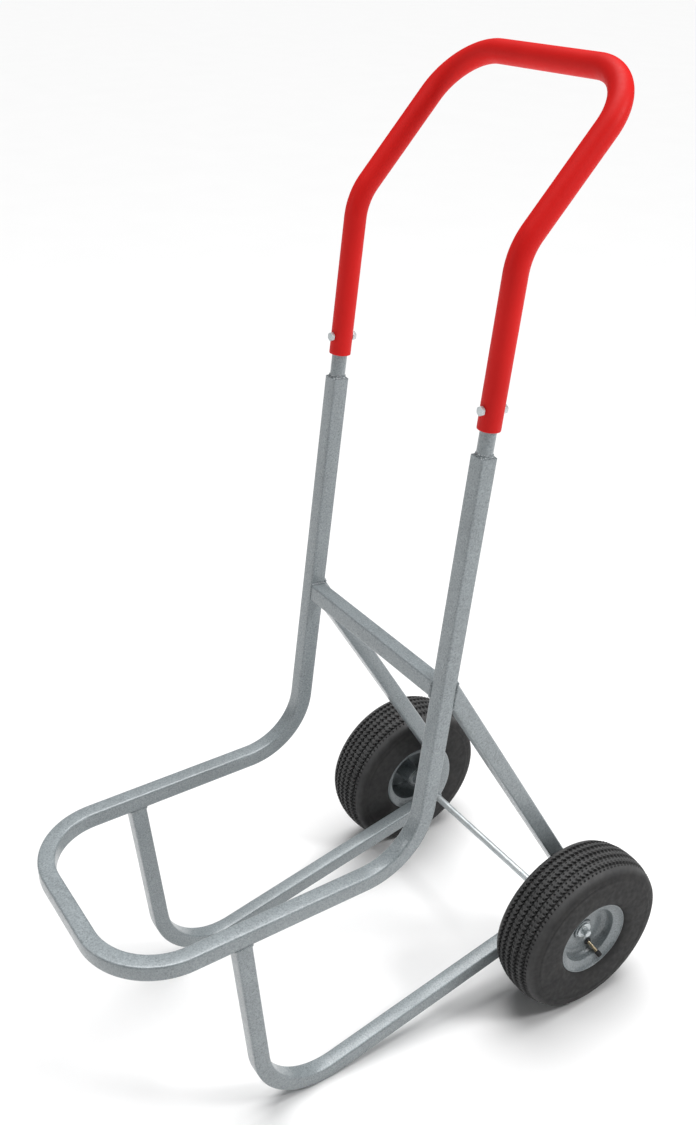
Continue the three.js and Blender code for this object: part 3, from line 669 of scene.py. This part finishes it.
def bushing_weld(side):
    beads = []
    for turn in (-1, 1):
        angle = -CROOK_ANGLE + turn * BUSHING_BEAD_TURN
        offset = Vector((0, math.cos(angle), math.sin(angle))) * (BUSHING_RADIUS + BUSHING_BEAD_LIFT)
        middle_point = Vector((side * HALF_SPAN, AXLE.y, AXLE.z)) + offset
        ends = [middle_point + X_AXIS * dx for dx in (-BUSHING_BEAD_REACH, BUSHING_BEAD_REACH)]
        beads.append(bead_along(ends, radius=BUSHING_BEAD_RADIUS, closed=False))
    return joined(*beads)


TOP_WELD_SIDES = 96
TOP_WELD_CORNER = 1.26
TOP_WELD_RIPPLE = 0.0004
# height over the tube's end, reach from its middle, and how round the outline is there
TOP_WELD_LEVELS = [
    (-0.0040, HALF_TUBE - 0.0016, 0.0),
    (0.0002, HALF_TUBE - 0.0008, 0.0),
    (0.0022, HALF_TUBE - 0.0022, 0.45),
    (0.0036, STUB_RADIUS + 0.0011, 1.0),
    (0.0048, STUB_RADIUS + 0.0001, 1.0),
]


def top_weld(side):
    """Weld metal that closes the square tube's end round the stub."""
    base = past_upright_top(side, 0)
    vertices = []
    for height, reach, roundness in TOP_WELD_LEVELS:
        for i in range(TOP_WELD_SIDES):
            a = 2 * math.pi * i / TOP_WELD_SIDES
            square = reach / max(abs(math.cos(a)), abs(math.sin(a)))
            corner_cut = min(square, reach * TOP_WELD_CORNER)
            r = corner_cut * (1 - roundness) + reach * roundness
            ripple = TOP_WELD_RIPPLE * math.sin(i * math.pi / 3) if height > 0 else 0
            spot = X_AXIS * (r * math.cos(a)) + UPRIGHT_REARWARD * (r * math.sin(a))
            vertices.append(base + spot + UPRIGHT_DIRECTION * (height + ripple))
    levels = len(TOP_WELD_LEVELS)
    return vertices, ring_faces(TOP_WELD_SIDES, levels) + end_caps(TOP_WELD_SIDES, levels)


# ---- handle --------------------------------------------------------------------------------------

ROUND_SIDES = 40
HANDLE_TUBE_INSET = 0.001


def handle_path(end_inset):
    """From the left end up over the bar and down to the right end."""

    def leg(side):
        bend = on_upright(side, HANDLE_BEND_HEIGHT)
        corner = Vector((bend.x, bend.y + HANDLE_REACH, HANDLE_TOP_HEIGHT))
        return [past_upright_top(side, HANDLE_END_GAP + end_inset), bend, corner]

    corners = [*leg(-1), *reversed(leg(1))]
    return rounded_path(corners, [HANDLE_LOWER_BEND, HANDLE_CORNER, HANDLE_CORNER, HANDLE_LOWER_BEND])


def with_lips(stations):
    """Adds stations near both ends, so that a sleeve's edge can be rounded there."""
    first, last = stations[0], stations[-1]
    step = GRIP_LIP / LIP_STEPS
    near = [(first[0] + first[1] * (step * k), first[1]) for k in range(1, LIP_STEPS + 1)]
    far = [(last[0] - last[1] * (step * k), last[1]) for k in range(LIP_STEPS, 0, -1)]
    return [first, *near, *stations[1:-1], *far, last]


def grip_sleeve():
    stations = with_lips(handle_path(0))
    last = len(stations) - 1

    def radius_at(number):
        """Full radius, less a quarter circle's worth over the steps of each lip."""
        share = 1 - min(number, last - number, LIP_STEPS) / LIP_STEPS
        return GRIP_RADIUS - GRIP_LIP * (1 - math.sqrt(1 - share * share))

    outer, inner = circle_loop(1, ROUND_SIDES), circle_loop(GRIP_BORE, ROUND_SIDES)
    return tube(stations, outer, inner, X_AXIS, scale=radius_at)


def round_tube(stations, radius):
    outer, inner = circle_loop(radius, ROUND_SIDES), circle_loop(radius - TUBE_WALL, ROUND_SIDES)
    return tube(stations, outer, inner, X_AXIS)


def handle_tube():
    return round_tube(handle_path(HANDLE_TUBE_INSET), HANDLE_TUBE_RADIUS)


def stub(side):
    bottom = past_upright_top(side, -STUB_IN_FRAME)
    top = past_upright_top(side, HANDLE_END_GAP + STUB_IN_HANDLE)
    return round_tube([(bottom, UPRIGHT_DIRECTION), (top, UPRIGHT_DIRECTION)], STUB_RADIUS)


HEX_ACROSS_FLATS = 0.0111
HEX_SIDES = 48
HEX_CHAMFER = 0.00054
HEX_RIM_SHARE = 0.93
BOLT_RADIUS = 0.00305
BOLT_HEAD = 0.0040
NUT_HEIGHT = 0.0054
NUT_BORE = BOLT_RADIUS + 0.0002
BOLT_PAST_NUT = 0.0020
THREAD_BELOW_NUT = 0.004
THREAD_PITCH = 0.00100
THREAD_DEPTH = 0.0006
ROWS_PER_PITCH = 6
ROD_SIDES = 32
POINT_LENGTH = 0.0012
POINT_SLOPE = 0.6


def round_spot(centre, direction, distance, radius, angle):
    """Point on a circle about a line that starts at a centre."""
    across = direction.cross(X_AXIS)
    spoke = X_AXIS * (radius * math.cos(angle)) + across * (radius * math.sin(angle))
    return centre + direction * distance + spoke


def hex_prism(centre, direction, start, end, bore=0.0):
    """Hexagon with both rims chamfered, solid or with a bore."""
    sides = HEX_SIDES
    corner = HEX_ACROSS_FLATS / 2 / math.cos(math.pi / 6)
    full = [(start + HEX_CHAMFER, 1.0), (end - HEX_CHAMFER, 1.0)]
    levels = [(start, HEX_RIM_SHARE), *full, (end, HEX_RIM_SHARE)]
    angles = [2 * math.pi * i / sides for i in range(sides)]
    vertices = []
    for distance, round_share in levels:
        for a in angles:
            into = (a + math.pi / 6) % (math.pi / 3) - math.pi / 6
            flat = HEX_ACROSS_FLATS / 2 / math.cos(into)
            vertices.append(round_spot(centre, direction, distance, min(flat, corner * round_share), a))
    faces = ring_faces(sides, len(levels))
    if not bore:
        return vertices, faces + end_caps(sides, len(levels))
    for distance in (start, end):
        vertices += [round_spot(centre, direction, distance, bore, a) for a in angles]
    near, far, bore_near, bore_far = 0, 3 * sides, 4 * sides, 5 * sides
    for i in range(sides):
        j = (i + 1) % sides
        faces.append((near + i, near + j, bore_near + j, bore_near + i))
        faces.append((far + i, far + j, bore_far + j, bore_far + i))
        faces.append((bore_near + i, bore_near + j, bore_far + j, bore_far + i))
    return vertices, faces


def threaded_rod(centre, direction, start, end, thread_from):
    """Plain shank, then a screw thread whose ridges climb by one pitch a turn."""
    rows = round((end - start) / (THREAD_PITCH / ROWS_PER_PITCH))
    vertices = []
    for row in range(rows + 1):
        distance = start + (end - start) * row / rows
        point = max(0, POINT_LENGTH - (end - distance)) * POINT_SLOPE
        for i in range(ROD_SIDES):
            phase = (distance / THREAD_PITCH - i / ROD_SIDES) % 1
            depth = THREAD_DEPTH * abs(2 * phase - 1) if distance > thread_from else 0
            angle = 2 * math.pi * i / ROD_SIDES
            vertices.append(round_spot(centre, direction, distance, BOLT_RADIUS - depth - point, angle))
    return vertices, ring_faces(ROD_SIDES, rows + 1) + end_caps(ROD_SIDES, rows + 1)


def handle_bolt(side):
    centre = past_upright_top(side, HANDLE_END_GAP + BOLT_ABOVE_END)
    tip = BOLT_SEAT + NUT_HEIGHT + BOLT_PAST_NUT
    head = hex_prism(centre, UPRIGHT_REARWARD, -BOLT_SEAT - BOLT_HEAD, -BOLT_SEAT)
    shank = threaded_rod(centre, UPRIGHT_REARWARD, -BOLT_SEAT, tip, BOLT_SEAT - THREAD_BELOW_NUT)
    return joined(head, shank)


def handle_nut(side):
    centre = past_upright_top(side, HANDLE_END_GAP + BOLT_ABOVE_END)
    return hex_prism(centre, UPRIGHT_REARWARD, BOLT_SEAT, BOLT_SEAT + NUT_HEIGHT, NUT_BORE)


# ---- axle ----------------------------------------------------------------------------------------

AXLE_RADIUS = 0.006
AXLE_CHAMFER = 0.001
AXLE_SIDES = 48
AXLE_LINE = Vector((0, AXLE.y, AXLE.z))
RING_SIDES = 64
BUSHING_BORE = 0.0063
WASHER_BORE = 0.0064
WASHER_RADIUS = 0.013
BUSHING_EDGE = 0.0006
WASHER_EDGE = 0.0004


def axle_rod():
    outline = [
        (-AXLE_END, AXLE_RADIUS - AXLE_CHAMFER),
        (-AXLE_END + AXLE_CHAMFER, AXLE_RADIUS),
        (AXLE_END - AXLE_CHAMFER, AXLE_RADIUS),
        (AXLE_END, AXLE_RADIUS - AXLE_CHAMFER),
    ]
    return lathe(fillet(outline, AXLE_CHAMFER / 2, 3, closed=False), AXLE_SIDES, AXLE_LINE)


def reach_along_x(node):
    """A node's nearer and farther distance from the cart's middle plane."""
    low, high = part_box(node)
    return sorted((abs(low.x), abs(high.x)))


def ring_between(node, inner, outer, edge, side):
    """Ring round the axle with softened edges, as long as its CAD node."""
    near, far = reach_along_x(node)
    outline = [(near, inner), (near, outer), (far, outer), (far, inner)]
    return revolve(fillet(outline, edge, 3), RING_SIDES, AXLE_LINE, side)


COTTER_WIRE = 0.00075
COTTER_WIRE_SIDES = 14
COTTER_HALF_GAP = 0.0001
COTTER_BEND_AT = AXLE_RADIUS + 0.002
COTTER_EYE_AT = COTTER_BEND_AT + 0.003
COTTER_EYE = 0.0026
COTTER_SPREAD = 0.005
COTTER_TAIL = 0.0045
COTTER_TURN = math.radians(20)
COTTER_BEND_STEP = math.radians(12)


def cotter_pin(label):
    """Split pin: an eye on one side of the axle, and two legs spread on the other."""
    place = middle(f"cotter_pin_{label}")
    leg = COTTER_WIRE + COTTER_HALF_GAP
    right_half = [
        (0, COTTER_EYE_AT + COTTER_EYE),
        (leg + COTTER_EYE, COTTER_EYE_AT),
        (leg, COTTER_BEND_AT),
        (leg, -COTTER_BEND_AT),
        (leg + COTTER_SPREAD, -COTTER_BEND_AT - COTTER_TAIL),
    ]
    outline = [(-y, z) for y, z in reversed(right_half[1:])] + right_half
    turn = Quaternion(X_AXIS, COTTER_TURN)
    corners = [Vector((place.x, AXLE.y, AXLE.z)) + turn @ Vector((0, y, z)) for y, z in outline]
    radii = [2 * COTTER_WIRE] * (len(corners) - 2)
    path = rounded_path(corners, radii, COTTER_BEND_STEP)
    return bar(path, circle_loop(COTTER_WIRE, COTTER_WIRE_SIDES), X_AXIS)


# ---- wheels: outlines are (out from the wheel's middle plane, radius) ----------------------------

TEETH = 104
STEPS_PER_TOOTH = 5
TREAD_DEPTH = 0.0048
NOTCH_DEPTH = 0.0030
SAW_SWING = 0.0022
GROOVE_SLOPE = 0.0003
COLUMN_SHARES = (0.30, 0.42, 0.58, 0.70)
GAP_STEPS = 2
RIBS_ON_RIGHT = [(0.0012, 0.0122), (0.0152, 0.0262), (0.0292, 0.0400)]
RIBS = [(-right, -left) for left, right in reversed(RIBS_ON_RIGHT)] + RIBS_ON_RIGHT
CROWN_DROP = 0.0098
CROWN_REACH = 0.0405
CROWN_POWER = 2.3
TYRE_INSIDE = [
    (0.0255, 0.0580), (0.0330, 0.0680), (0.0400, 0.0780),
    (0.0408, 0.0950), (0.0360, 0.1160), (0.0205, 0.1270),
]

RIM_LIP = 0.041
RIM_LIP_RADIUS = 0.064
RIM_SEAT_RADIUS = 0.0508
RIM_SHEET = 0.002
RIM_JOINT = 0.01325
RIM_SIDES = 128
RIM_FILLET = 0.0014
DISC_EDGE = 0.0173
BOWL = [(0, 0.034), (0.0006, 0.040), (0.0024, 0.045), (0.0056, 0.0488), (0.0105, RIM_SEAT_RADIUS)]
FLARE = [
    (RIM_LIP - 0.0100, RIM_SEAT_RADIUS),
    (RIM_LIP - 0.0088, RIM_LIP_RADIUS - 0.0102),
    (RIM_LIP - 0.0060, RIM_LIP_RADIUS - 0.0048),
    (RIM_LIP - 0.0020, RIM_LIP_RADIUS),
    (RIM_LIP, RIM_LIP_RADIUS),
]


def offset_line(points, distance):
    """Points moved to the left of the line that they make."""
    line = [Vector(p) for p in points]
    moved = []
    for i, point in enumerate(line):
        arriving = (point - line[i - 1]).normalized() if i else (line[1] - point).normalized()
        leaving = (line[i + 1] - point).normalized() if i < len(line) - 1 else arriving
        n1, n2 = Vector((-arriving.y, arriving.x)), Vector((-leaving.y, leaving.x))
        moved.append(tuple(point + (n1 + n2) * (distance / (1 + n1.dot(n2)))))
    return moved


BEAD_START = RIM_LIP - 0.020
TYRE_OFF_RIM = 0.0004
BEAD = offset_line([(BEAD_START, RIM_SEAT_RADIUS), *FLARE], TYRE_OFF_RIM)
SIDEWALL = [
    *BEAD, (0.0424, 0.0660), (0.0441, 0.0685), (0.0455, 0.0720), (0.0461, 0.0790), (0.0463, 0.0880),
    (0.0463, 0.0960), (0.0460, 0.1030), (0.0456, 0.1090),
]
SHOULDER = [
    (0.0459, 0.1105), (0.0454, 0.1135), (0.0447, 0.1145),
    (0.0443, 0.1180), (0.0432, 0.1230), (0.0412, 0.1268),
]


def crown(x):
    """The tread's radius at a distance from the middle plane."""
    return TYRE_RADIUS - CROWN_DROP * (abs(x) / CROWN_REACH) ** CROWN_POWER


def tread_columns():
    """(x, radius, saw, notched) across the tread: saw is which way the teeth push that column."""
    columns = []
    for number, (left, right) in enumerate(RIBS):
        outer_left, outer_right = number == 0, number == len(RIBS) - 1
        width = right - left
        if not outer_left:
            columns.append((left - GROOVE_SLOPE, crown(left) - TREAD_DEPTH, 1, False))
        columns.append((left, crown(left), 0 if outer_left else 1, not outer_left))
        for share, toothed in zip(COLUMN_SHARES, (not outer_left, False, False, not outer_right)):
            x = left + share * width
            columns.append((x, crown(x), 0, toothed))
        columns.append((right, crown(right), 0 if outer_right else -1, not outer_right))
        if not outer_right:
            columns.append((right + GROOVE_SLOPE, crown(right) - TREAD_DEPTH, -1, False))
    return columns


def tyre(side, centre):
    """Side walls, tread and inside in one closed outline, whose tread columns swing into teeth."""
    half = [*SIDEWALL, *SHOULDER]
    across = tread_columns()
    outline = [(-x, r) for x, r in half]
    outline += [(x, r) for x, r, _, _ in across]
    outline += [*reversed(half), *reversed(TYRE_INSIDE), *((-x, r) for x, r in TYRE_INSIDE)]
    columns = {len(half) + i: (saw, notched) for i, (_, _, saw, notched) in enumerate(across)}

    def cut_teeth(i, s, x, r):
        """Slants each tooth sideways, then drops its toothed columns for the gap to the next."""
        step = s % STEPS_PER_TOOTH
        saw, notched = columns.get(i, (0, False))
        in_gap = step >= STEPS_PER_TOOTH - GAP_STEPS
        x += saw * SAW_SWING * (0 if in_gap else step / (STEPS_PER_TOOTH - GAP_STEPS - 1))
        return (x, r - NOTCH_DEPTH) if notched and in_gap else (x, r)

    return revolve(outline, TEETH * STEPS_PER_TOOTH, centre, side, swing=cut_teeth)


def rim_face(disc):
    """Face of a rim half towards the tyre, from hub to lip."""
    corner = [(disc, RIM_SEAT_RADIUS - RIM_SHEET), (disc + RIM_SHEET, RIM_SEAT_RADIUS)]
    return [(disc, DISC_EDGE), *corner, *FLARE]


def mirrored(points):
    return [(-x, r) for x, r in reversed(points)]


def bowl_face(disc):
    """The outboard half's face: the same, with the disc pressed into a bowl."""
    return [(disc, DISC_EDGE), *((disc + x, r) for x, r in BOWL), *FLARE]


RIM_OUTBOARD = bowl_face(RIM_JOINT + CLEARANCE / 2)[::-1]
RIM_INBOARD = mirrored(rim_face(-RIM_JOINT + CLEARANCE / 2)[::-1])


def rim_half(face, side, centre):
    sheet = [*face, *reversed(offset_line(face, RIM_SHEET))]
    return revolve(fillet(sheet, RIM_FILLET, 4), RIM_SIDES, centre, side)


# ---- valve ---------------------------------------------------------------------------------------

VALVE_ANGLE = math.radians(-67)
VALVE_LEAN = math.radians(30)
VALVE_RADIUS = 0.035
VALVE_STEM = 0.0026
STEM_ROOT = RIM_SEAT_RADIUS + 0.0037
STEM_LENGTH = 0.031
STEM_BEND = 0.007
STEM_BEND_STEP = math.radians(8)
STEM_SIDES = 24
VALVE_OUT = Vector((0, math.cos(VALVE_ANGLE), math.sin(VALVE_ANGLE)))


def valve_line(side):
    """Where the valve passes the rim's disc, and its direction from there."""
    start = X_AXIS * (side * RIM_JOINT) + VALVE_OUT * VALVE_RADIUS
    return start, X_AXIS * (side * math.cos(VALVE_LEAN)) + VALVE_OUT * math.sin(VALVE_LEAN)


def valve_stem(side, centre):
    """From the inner tube inwards behind the disc, then out through it at a lean."""
    start, direction = valve_line(side)
    turn_radius = VALVE_RADIUS - RIM_JOINT * math.tan(VALVE_LEAN)
    corners = [centre + VALVE_OUT * STEM_ROOT, centre + VALVE_OUT * turn_radius]
    corners.append(centre + start + direction * STEM_LENGTH)
    across = X_AXIS.cross(VALVE_OUT)
    path = rounded_path(corners, [STEM_BEND], STEM_BEND_STEP)
    return bar(path, circle_loop(VALVE_STEM, STEM_SIDES), across)


def turned_on_valve(outline, segments, side, centre, swing=None):
    """Ring about the valve's own axis, from an outline of (distance from the disc, radius)."""
    start, direction = valve_line(side)
    turn = X_AXIS.rotation_difference(direction)
    vertices, faces = revolve(outline, segments, Vector((0, 0, 0)), 1, swing)
    return [centre + start + turn @ v for v in vertices], faces


GROMMET_SIDES = 48
GROMMET_BORE = VALVE_STEM + 0.0002
GROMMET_FOOT = RIM_JOINT + RIM_SHEET + 2 * CLEARANCE
GROMMET_MIDDLE = 0.0015
GROMMET_OUTLINE = [
    (0.0, GROMMET_BORE), (0.0, 0.0058), (0.0004, 0.0062), (0.0011, 0.0062),
    (0.0024, 0.0052), (0.0030, 0.0046), (0.0030, GROMMET_BORE),
]


def valve_grommet(side, centre):
    """Collar whose foot lies flat on the disc, and whose bore follows the leaning valve."""
    start, direction = valve_line(side)
    vertices = []
    for s in range(GROMMET_SIDES):
        a = 2 * math.pi * s / GROMMET_SIDES
        for height, radius in GROMMET_OUTLINE:
            level = height if radius == GROMMET_BORE else GROMMET_MIDDLE
            spot = start + direction * ((GROMMET_FOOT + level - RIM_JOINT) / math.cos(VALVE_LEAN))
            spot += Vector((0, radius * math.cos(a), radius * math.sin(a)))
            spot.x = side * (GROMMET_FOOT + height)
            vertices.append(centre + spot)
    return vertices, ring_faces(len(GROMMET_OUTLINE), GROMMET_SIDES, closed=True)


CAP_SIDES = 72
CAP_LENGTH = 0.0095
CAP_PAST_STEM = 0.003
KNURL_DEPTH = 0.00035
KNURLED = (3, 4)
ALMOST_CLOSED = 0.0002


def valve_cap(side, centre):
    """Knurled cap over the stem's end."""
    bore = VALVE_STEM + CLEARANCE
    end = STEM_LENGTH + CAP_PAST_STEM
    open_end = end - CAP_LENGTH
    top_of_bore = STEM_LENGTH + CLEARANCE
    outline = [
        (open_end, bore), (open_end, 0.0036), (open_end + 0.0007, 0.0040), (open_end + 0.0015, 0.0042),
        (end - 0.0022, 0.0042), (end - 0.0012, 0.0039), (end - 0.0004, 0.0032), (end, 0.0018),
        (end, ALMOST_CLOSED), (top_of_bore, ALMOST_CLOSED), (top_of_bore, bore),
    ]

    def knurl(i, s, x, r):
        return (x, r - KNURL_DEPTH) if i in KNURLED and s % 3 == 0 else (x, r)

    return turned_on_valve(outline, CAP_SIDES, side, centre, knurl)


BEARING_BORE = 0.0061
BEARING_RADIUS = 0.0142
RACE_WALL = 0.0022
SHIELD_RECESS = 0.0007
SHIELD_GAP = 0.0003
BEARING_FILLET = 0.0003


def bearing(node, side):
    """Two races with a shield set back between them."""
    near, far = reach_along_x(node)
    inner, outer = BEARING_BORE + RACE_WALL, BEARING_RADIUS - RACE_WALL
    outline = [
        (near, BEARING_BORE), (near, inner), (near + SHIELD_RECESS, inner + SHIELD_GAP),
        (near + SHIELD_RECESS, outer - SHIELD_GAP), (near, outer), (near, BEARING_RADIUS),
        (far, BEARING_RADIUS), (far, outer), (far - SHIELD_RECESS, outer - SHIELD_GAP),
        (far - SHIELD_RECESS, inner + SHIELD_GAP), (far, inner), (far, BEARING_BORE),
    ]
    return revolve(fillet(outline, BEARING_FILLET, 2), RING_SIDES, AXLE_LINE, side)


# ---- assembly ------------------------------------------------------------------------------------

HUB_RADIUS = 0.017
HUB_BORE = 0.0145
HUB_EDGE = 0.0008
WELD_CREASE = 60
TYRE_CREASE = 28
WELDS = {
    "crossbar": crossbar_weld,
    "leg": leg_weld,
    "brace": brace_weld,
    "bushing": bushing_weld,
    "top": top_weld,
}


def add_frame_side(label, side):
    piece(f"side_loop_{label}", side_tube(side), "frame", "frame", f"side_tube_{label}")
    piece(f"stub_{label}", stub(side), "frame", "frame", f"handle_stub_{label}")
    piece(f"bolt_{label}", handle_bolt(side), "zinc", "frame", f"handle_bolt_{label}")
    piece(f"nut_{label}", handle_nut(side), "zinc", "frame", f"handle_nut_{label}")
    for joint, weld in WELDS.items():
        piece(f"weld_{joint}_{label}", weld(side), "frame", "frame", crease=WELD_CREASE)
    bushing = f"axle_bushing_{label}"
    ring = ring_between(bushing, BUSHING_BORE, BUSHING_RADIUS, BUSHING_EDGE, side)
    piece(f"bushing_{label}", ring, "frame", "frame", bushing)


def add_axle_side(label, side):
    for end in ("inner", "outer"):
        washer = f"washer_{end}_{label}"
        ring = ring_between(washer, WASHER_BORE, WASHER_RADIUS, WASHER_EDGE, side)
        piece(f"{end}_washer_{label}", ring, "zinc", "frame", washer)
        race = f"bearing_{end}_{label}"
        piece(f"{end}_bearing_{label}", bearing(race, side), "zinc", f"wheel_{label}", race)
    piece(f"cotter_{label}", cotter_pin(label), "zinc", "frame", f"cotter_pin_{label}")


def add_wheel(label, side):
    body = f"wheel_{label}"
    centre = Vector((side * WHEEL_CENTRE, AXLE.y, AXLE.z))
    hub = f"hub_{label}"
    hub_ring = ring_between(hub, HUB_BORE, HUB_RADIUS, HUB_EDGE, side)
    piece(f"tyre_tread_{label}", tyre(side, centre), "tyre", body, f"tyre_{label}", crease=TYRE_CREASE)
    piece(f"rim_out_{label}", rim_half(RIM_OUTBOARD, side, centre), "rim", body, f"rim_outboard_{label}")
    piece(f"rim_in_{label}", rim_half(RIM_INBOARD, side, centre), "rim", body, f"rim_inboard_{label}")
    piece(f"hub_tube_{label}", hub_ring, "rim", body, hub)
    piece(f"valve_tube_{label}", valve_stem(side, centre), "brass", body, f"valve_stem_{label}")
    piece(f"valve_seat_{label}", valve_grommet(side, centre), "rubber", body, f"valve_grommet_{label}")
    piece(f"valve_top_{label}", valve_cap(side, centre), "rubber", body, f"valve_cap_{label}")


piece("frame_tube", main_frame(), "frame", "frame", "main_frame")
piece("crossbar_tube", crossbar(), "frame", "frame", "crossbar")
piece("handle_core", handle_tube(), "frame", "frame", "handle_tube")
piece("handle_sleeve", grip_sleeve(), "grip", "frame", "handle_grip")
piece("axle_rod", axle_rod(), "zinc", "frame", "axle")
for label, side in SIDES.items():
    add_frame_side(label, side)
    add_axle_side(label, side)
    add_wheel(label, side)

# Of the CAD's own nodes only the inner tubes are left to show.
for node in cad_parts.values():
    if not node.hide_render:
        node.data.materials.clear()
        node.data.materials.append(MATERIALS["rubber"])

# ---- floor, lights and camera --------------------------------------------------------------------

FLOOR_REACH = 30
ROOM_BRIGHTNESS = 0.10

CAMERA_PLACE = (1.2085, -0.7793, 1.5647)
CAMERA_HEADING = math.radians(57.38)
CAMERA_DIP = math.radians(29.64)
CAMERA_LENS = 38.64
CAMERA_SENSOR = 36
CAMERA_SHIFT = (0.0143, 0.016)


def floor_sheet():
    mesh = bpy.data.meshes.new("floor")
    corners = [(x * FLOOR_REACH, y * FLOOR_REACH, 0) for x, y in ((-1, -1), (1, -1), (1, 1), (-1, 1))]
    mesh.from_pydata(corners, [], [(0, 1, 2, 3)])
    mesh.materials.append(studio_floor())
    made = bpy.data.objects.new("floor", mesh)
    bpy.context.scene.collection.objects.link(made)


def soft_light(name, place, target, size, power):
    """A round lamp that faces its target."""
    data = bpy.data.lights.new(name, "AREA")
    data.shape = "DISK"
    data.size = size
    data.energy = power
    made = bpy.data.objects.new(name, data)
    made.location = place
    made.rotation_mode = "QUATERNION"
    made.rotation_quaternion = (Vector(target) - Vector(place)).to_track_quat("-Z", "Y")
    bpy.context.scene.collection.objects.link(made)


def soft_sun(place, strength, spread):
    """A sun that shines from a place towards the origin, spread over so many degrees."""
    data = bpy.data.lights.new("sun", "SUN")
    data.energy = strength
    data.angle = math.radians(spread)
    made = bpy.data.objects.new("sun", data)
    made.rotation_mode = "QUATERNION"
    made.rotation_quaternion = (-Vector(place)).to_track_quat("-Z", "Y")
    bpy.context.scene.collection.objects.link(made)


def pale_room():
    world = bpy.data.worlds.new("room")
    world.use_nodes = True
    background = world.node_tree.nodes["Background"]
    background.inputs["Color"].default_value = (1, 1, 1, 1)
    background.inputs["Strength"].default_value = ROOM_BRIGHTNESS
    bpy.context.scene.world = world


def make_camera():
    """Stands to the cart's front right, above the handle, and looks down at it."""
    data = bpy.data.cameras.new("camera")
    data.lens = CAMERA_LENS
    data.sensor_width = CAMERA_SENSOR
    data.shift_x, data.shift_y = CAMERA_SHIFT
    made = bpy.data.objects.new("camera", data)
    made.location = CAMERA_PLACE
    ahead = Vector((-math.sin(CAMERA_HEADING), math.cos(CAMERA_HEADING), 0))
    forward = ahead * math.cos(CAMERA_DIP) - UP * math.sin(CAMERA_DIP)
    made.rotation_mode = "QUATERNION"
    made.rotation_quaternion = forward.to_track_quat("-Z", "Y")
    bpy.context.scene.collection.objects.link(made)
    bpy.context.scene.camera = made


floor_sheet()
pale_room()
soft_sun(place=(-0.4, 0.5, 2.8), strength=3.25, spread=50)
soft_light("key", place=(1.9, 1.6, 2.6), target=(0, 0, 0.5), size=0.7, power=36)
soft_light("front", place=(-1.2, -2.6, 2.2), target=(0, 0, 0.6), size=1.2, power=12)
make_camera()
bpy.context.scene.view_settings.view_transform = "Standard"
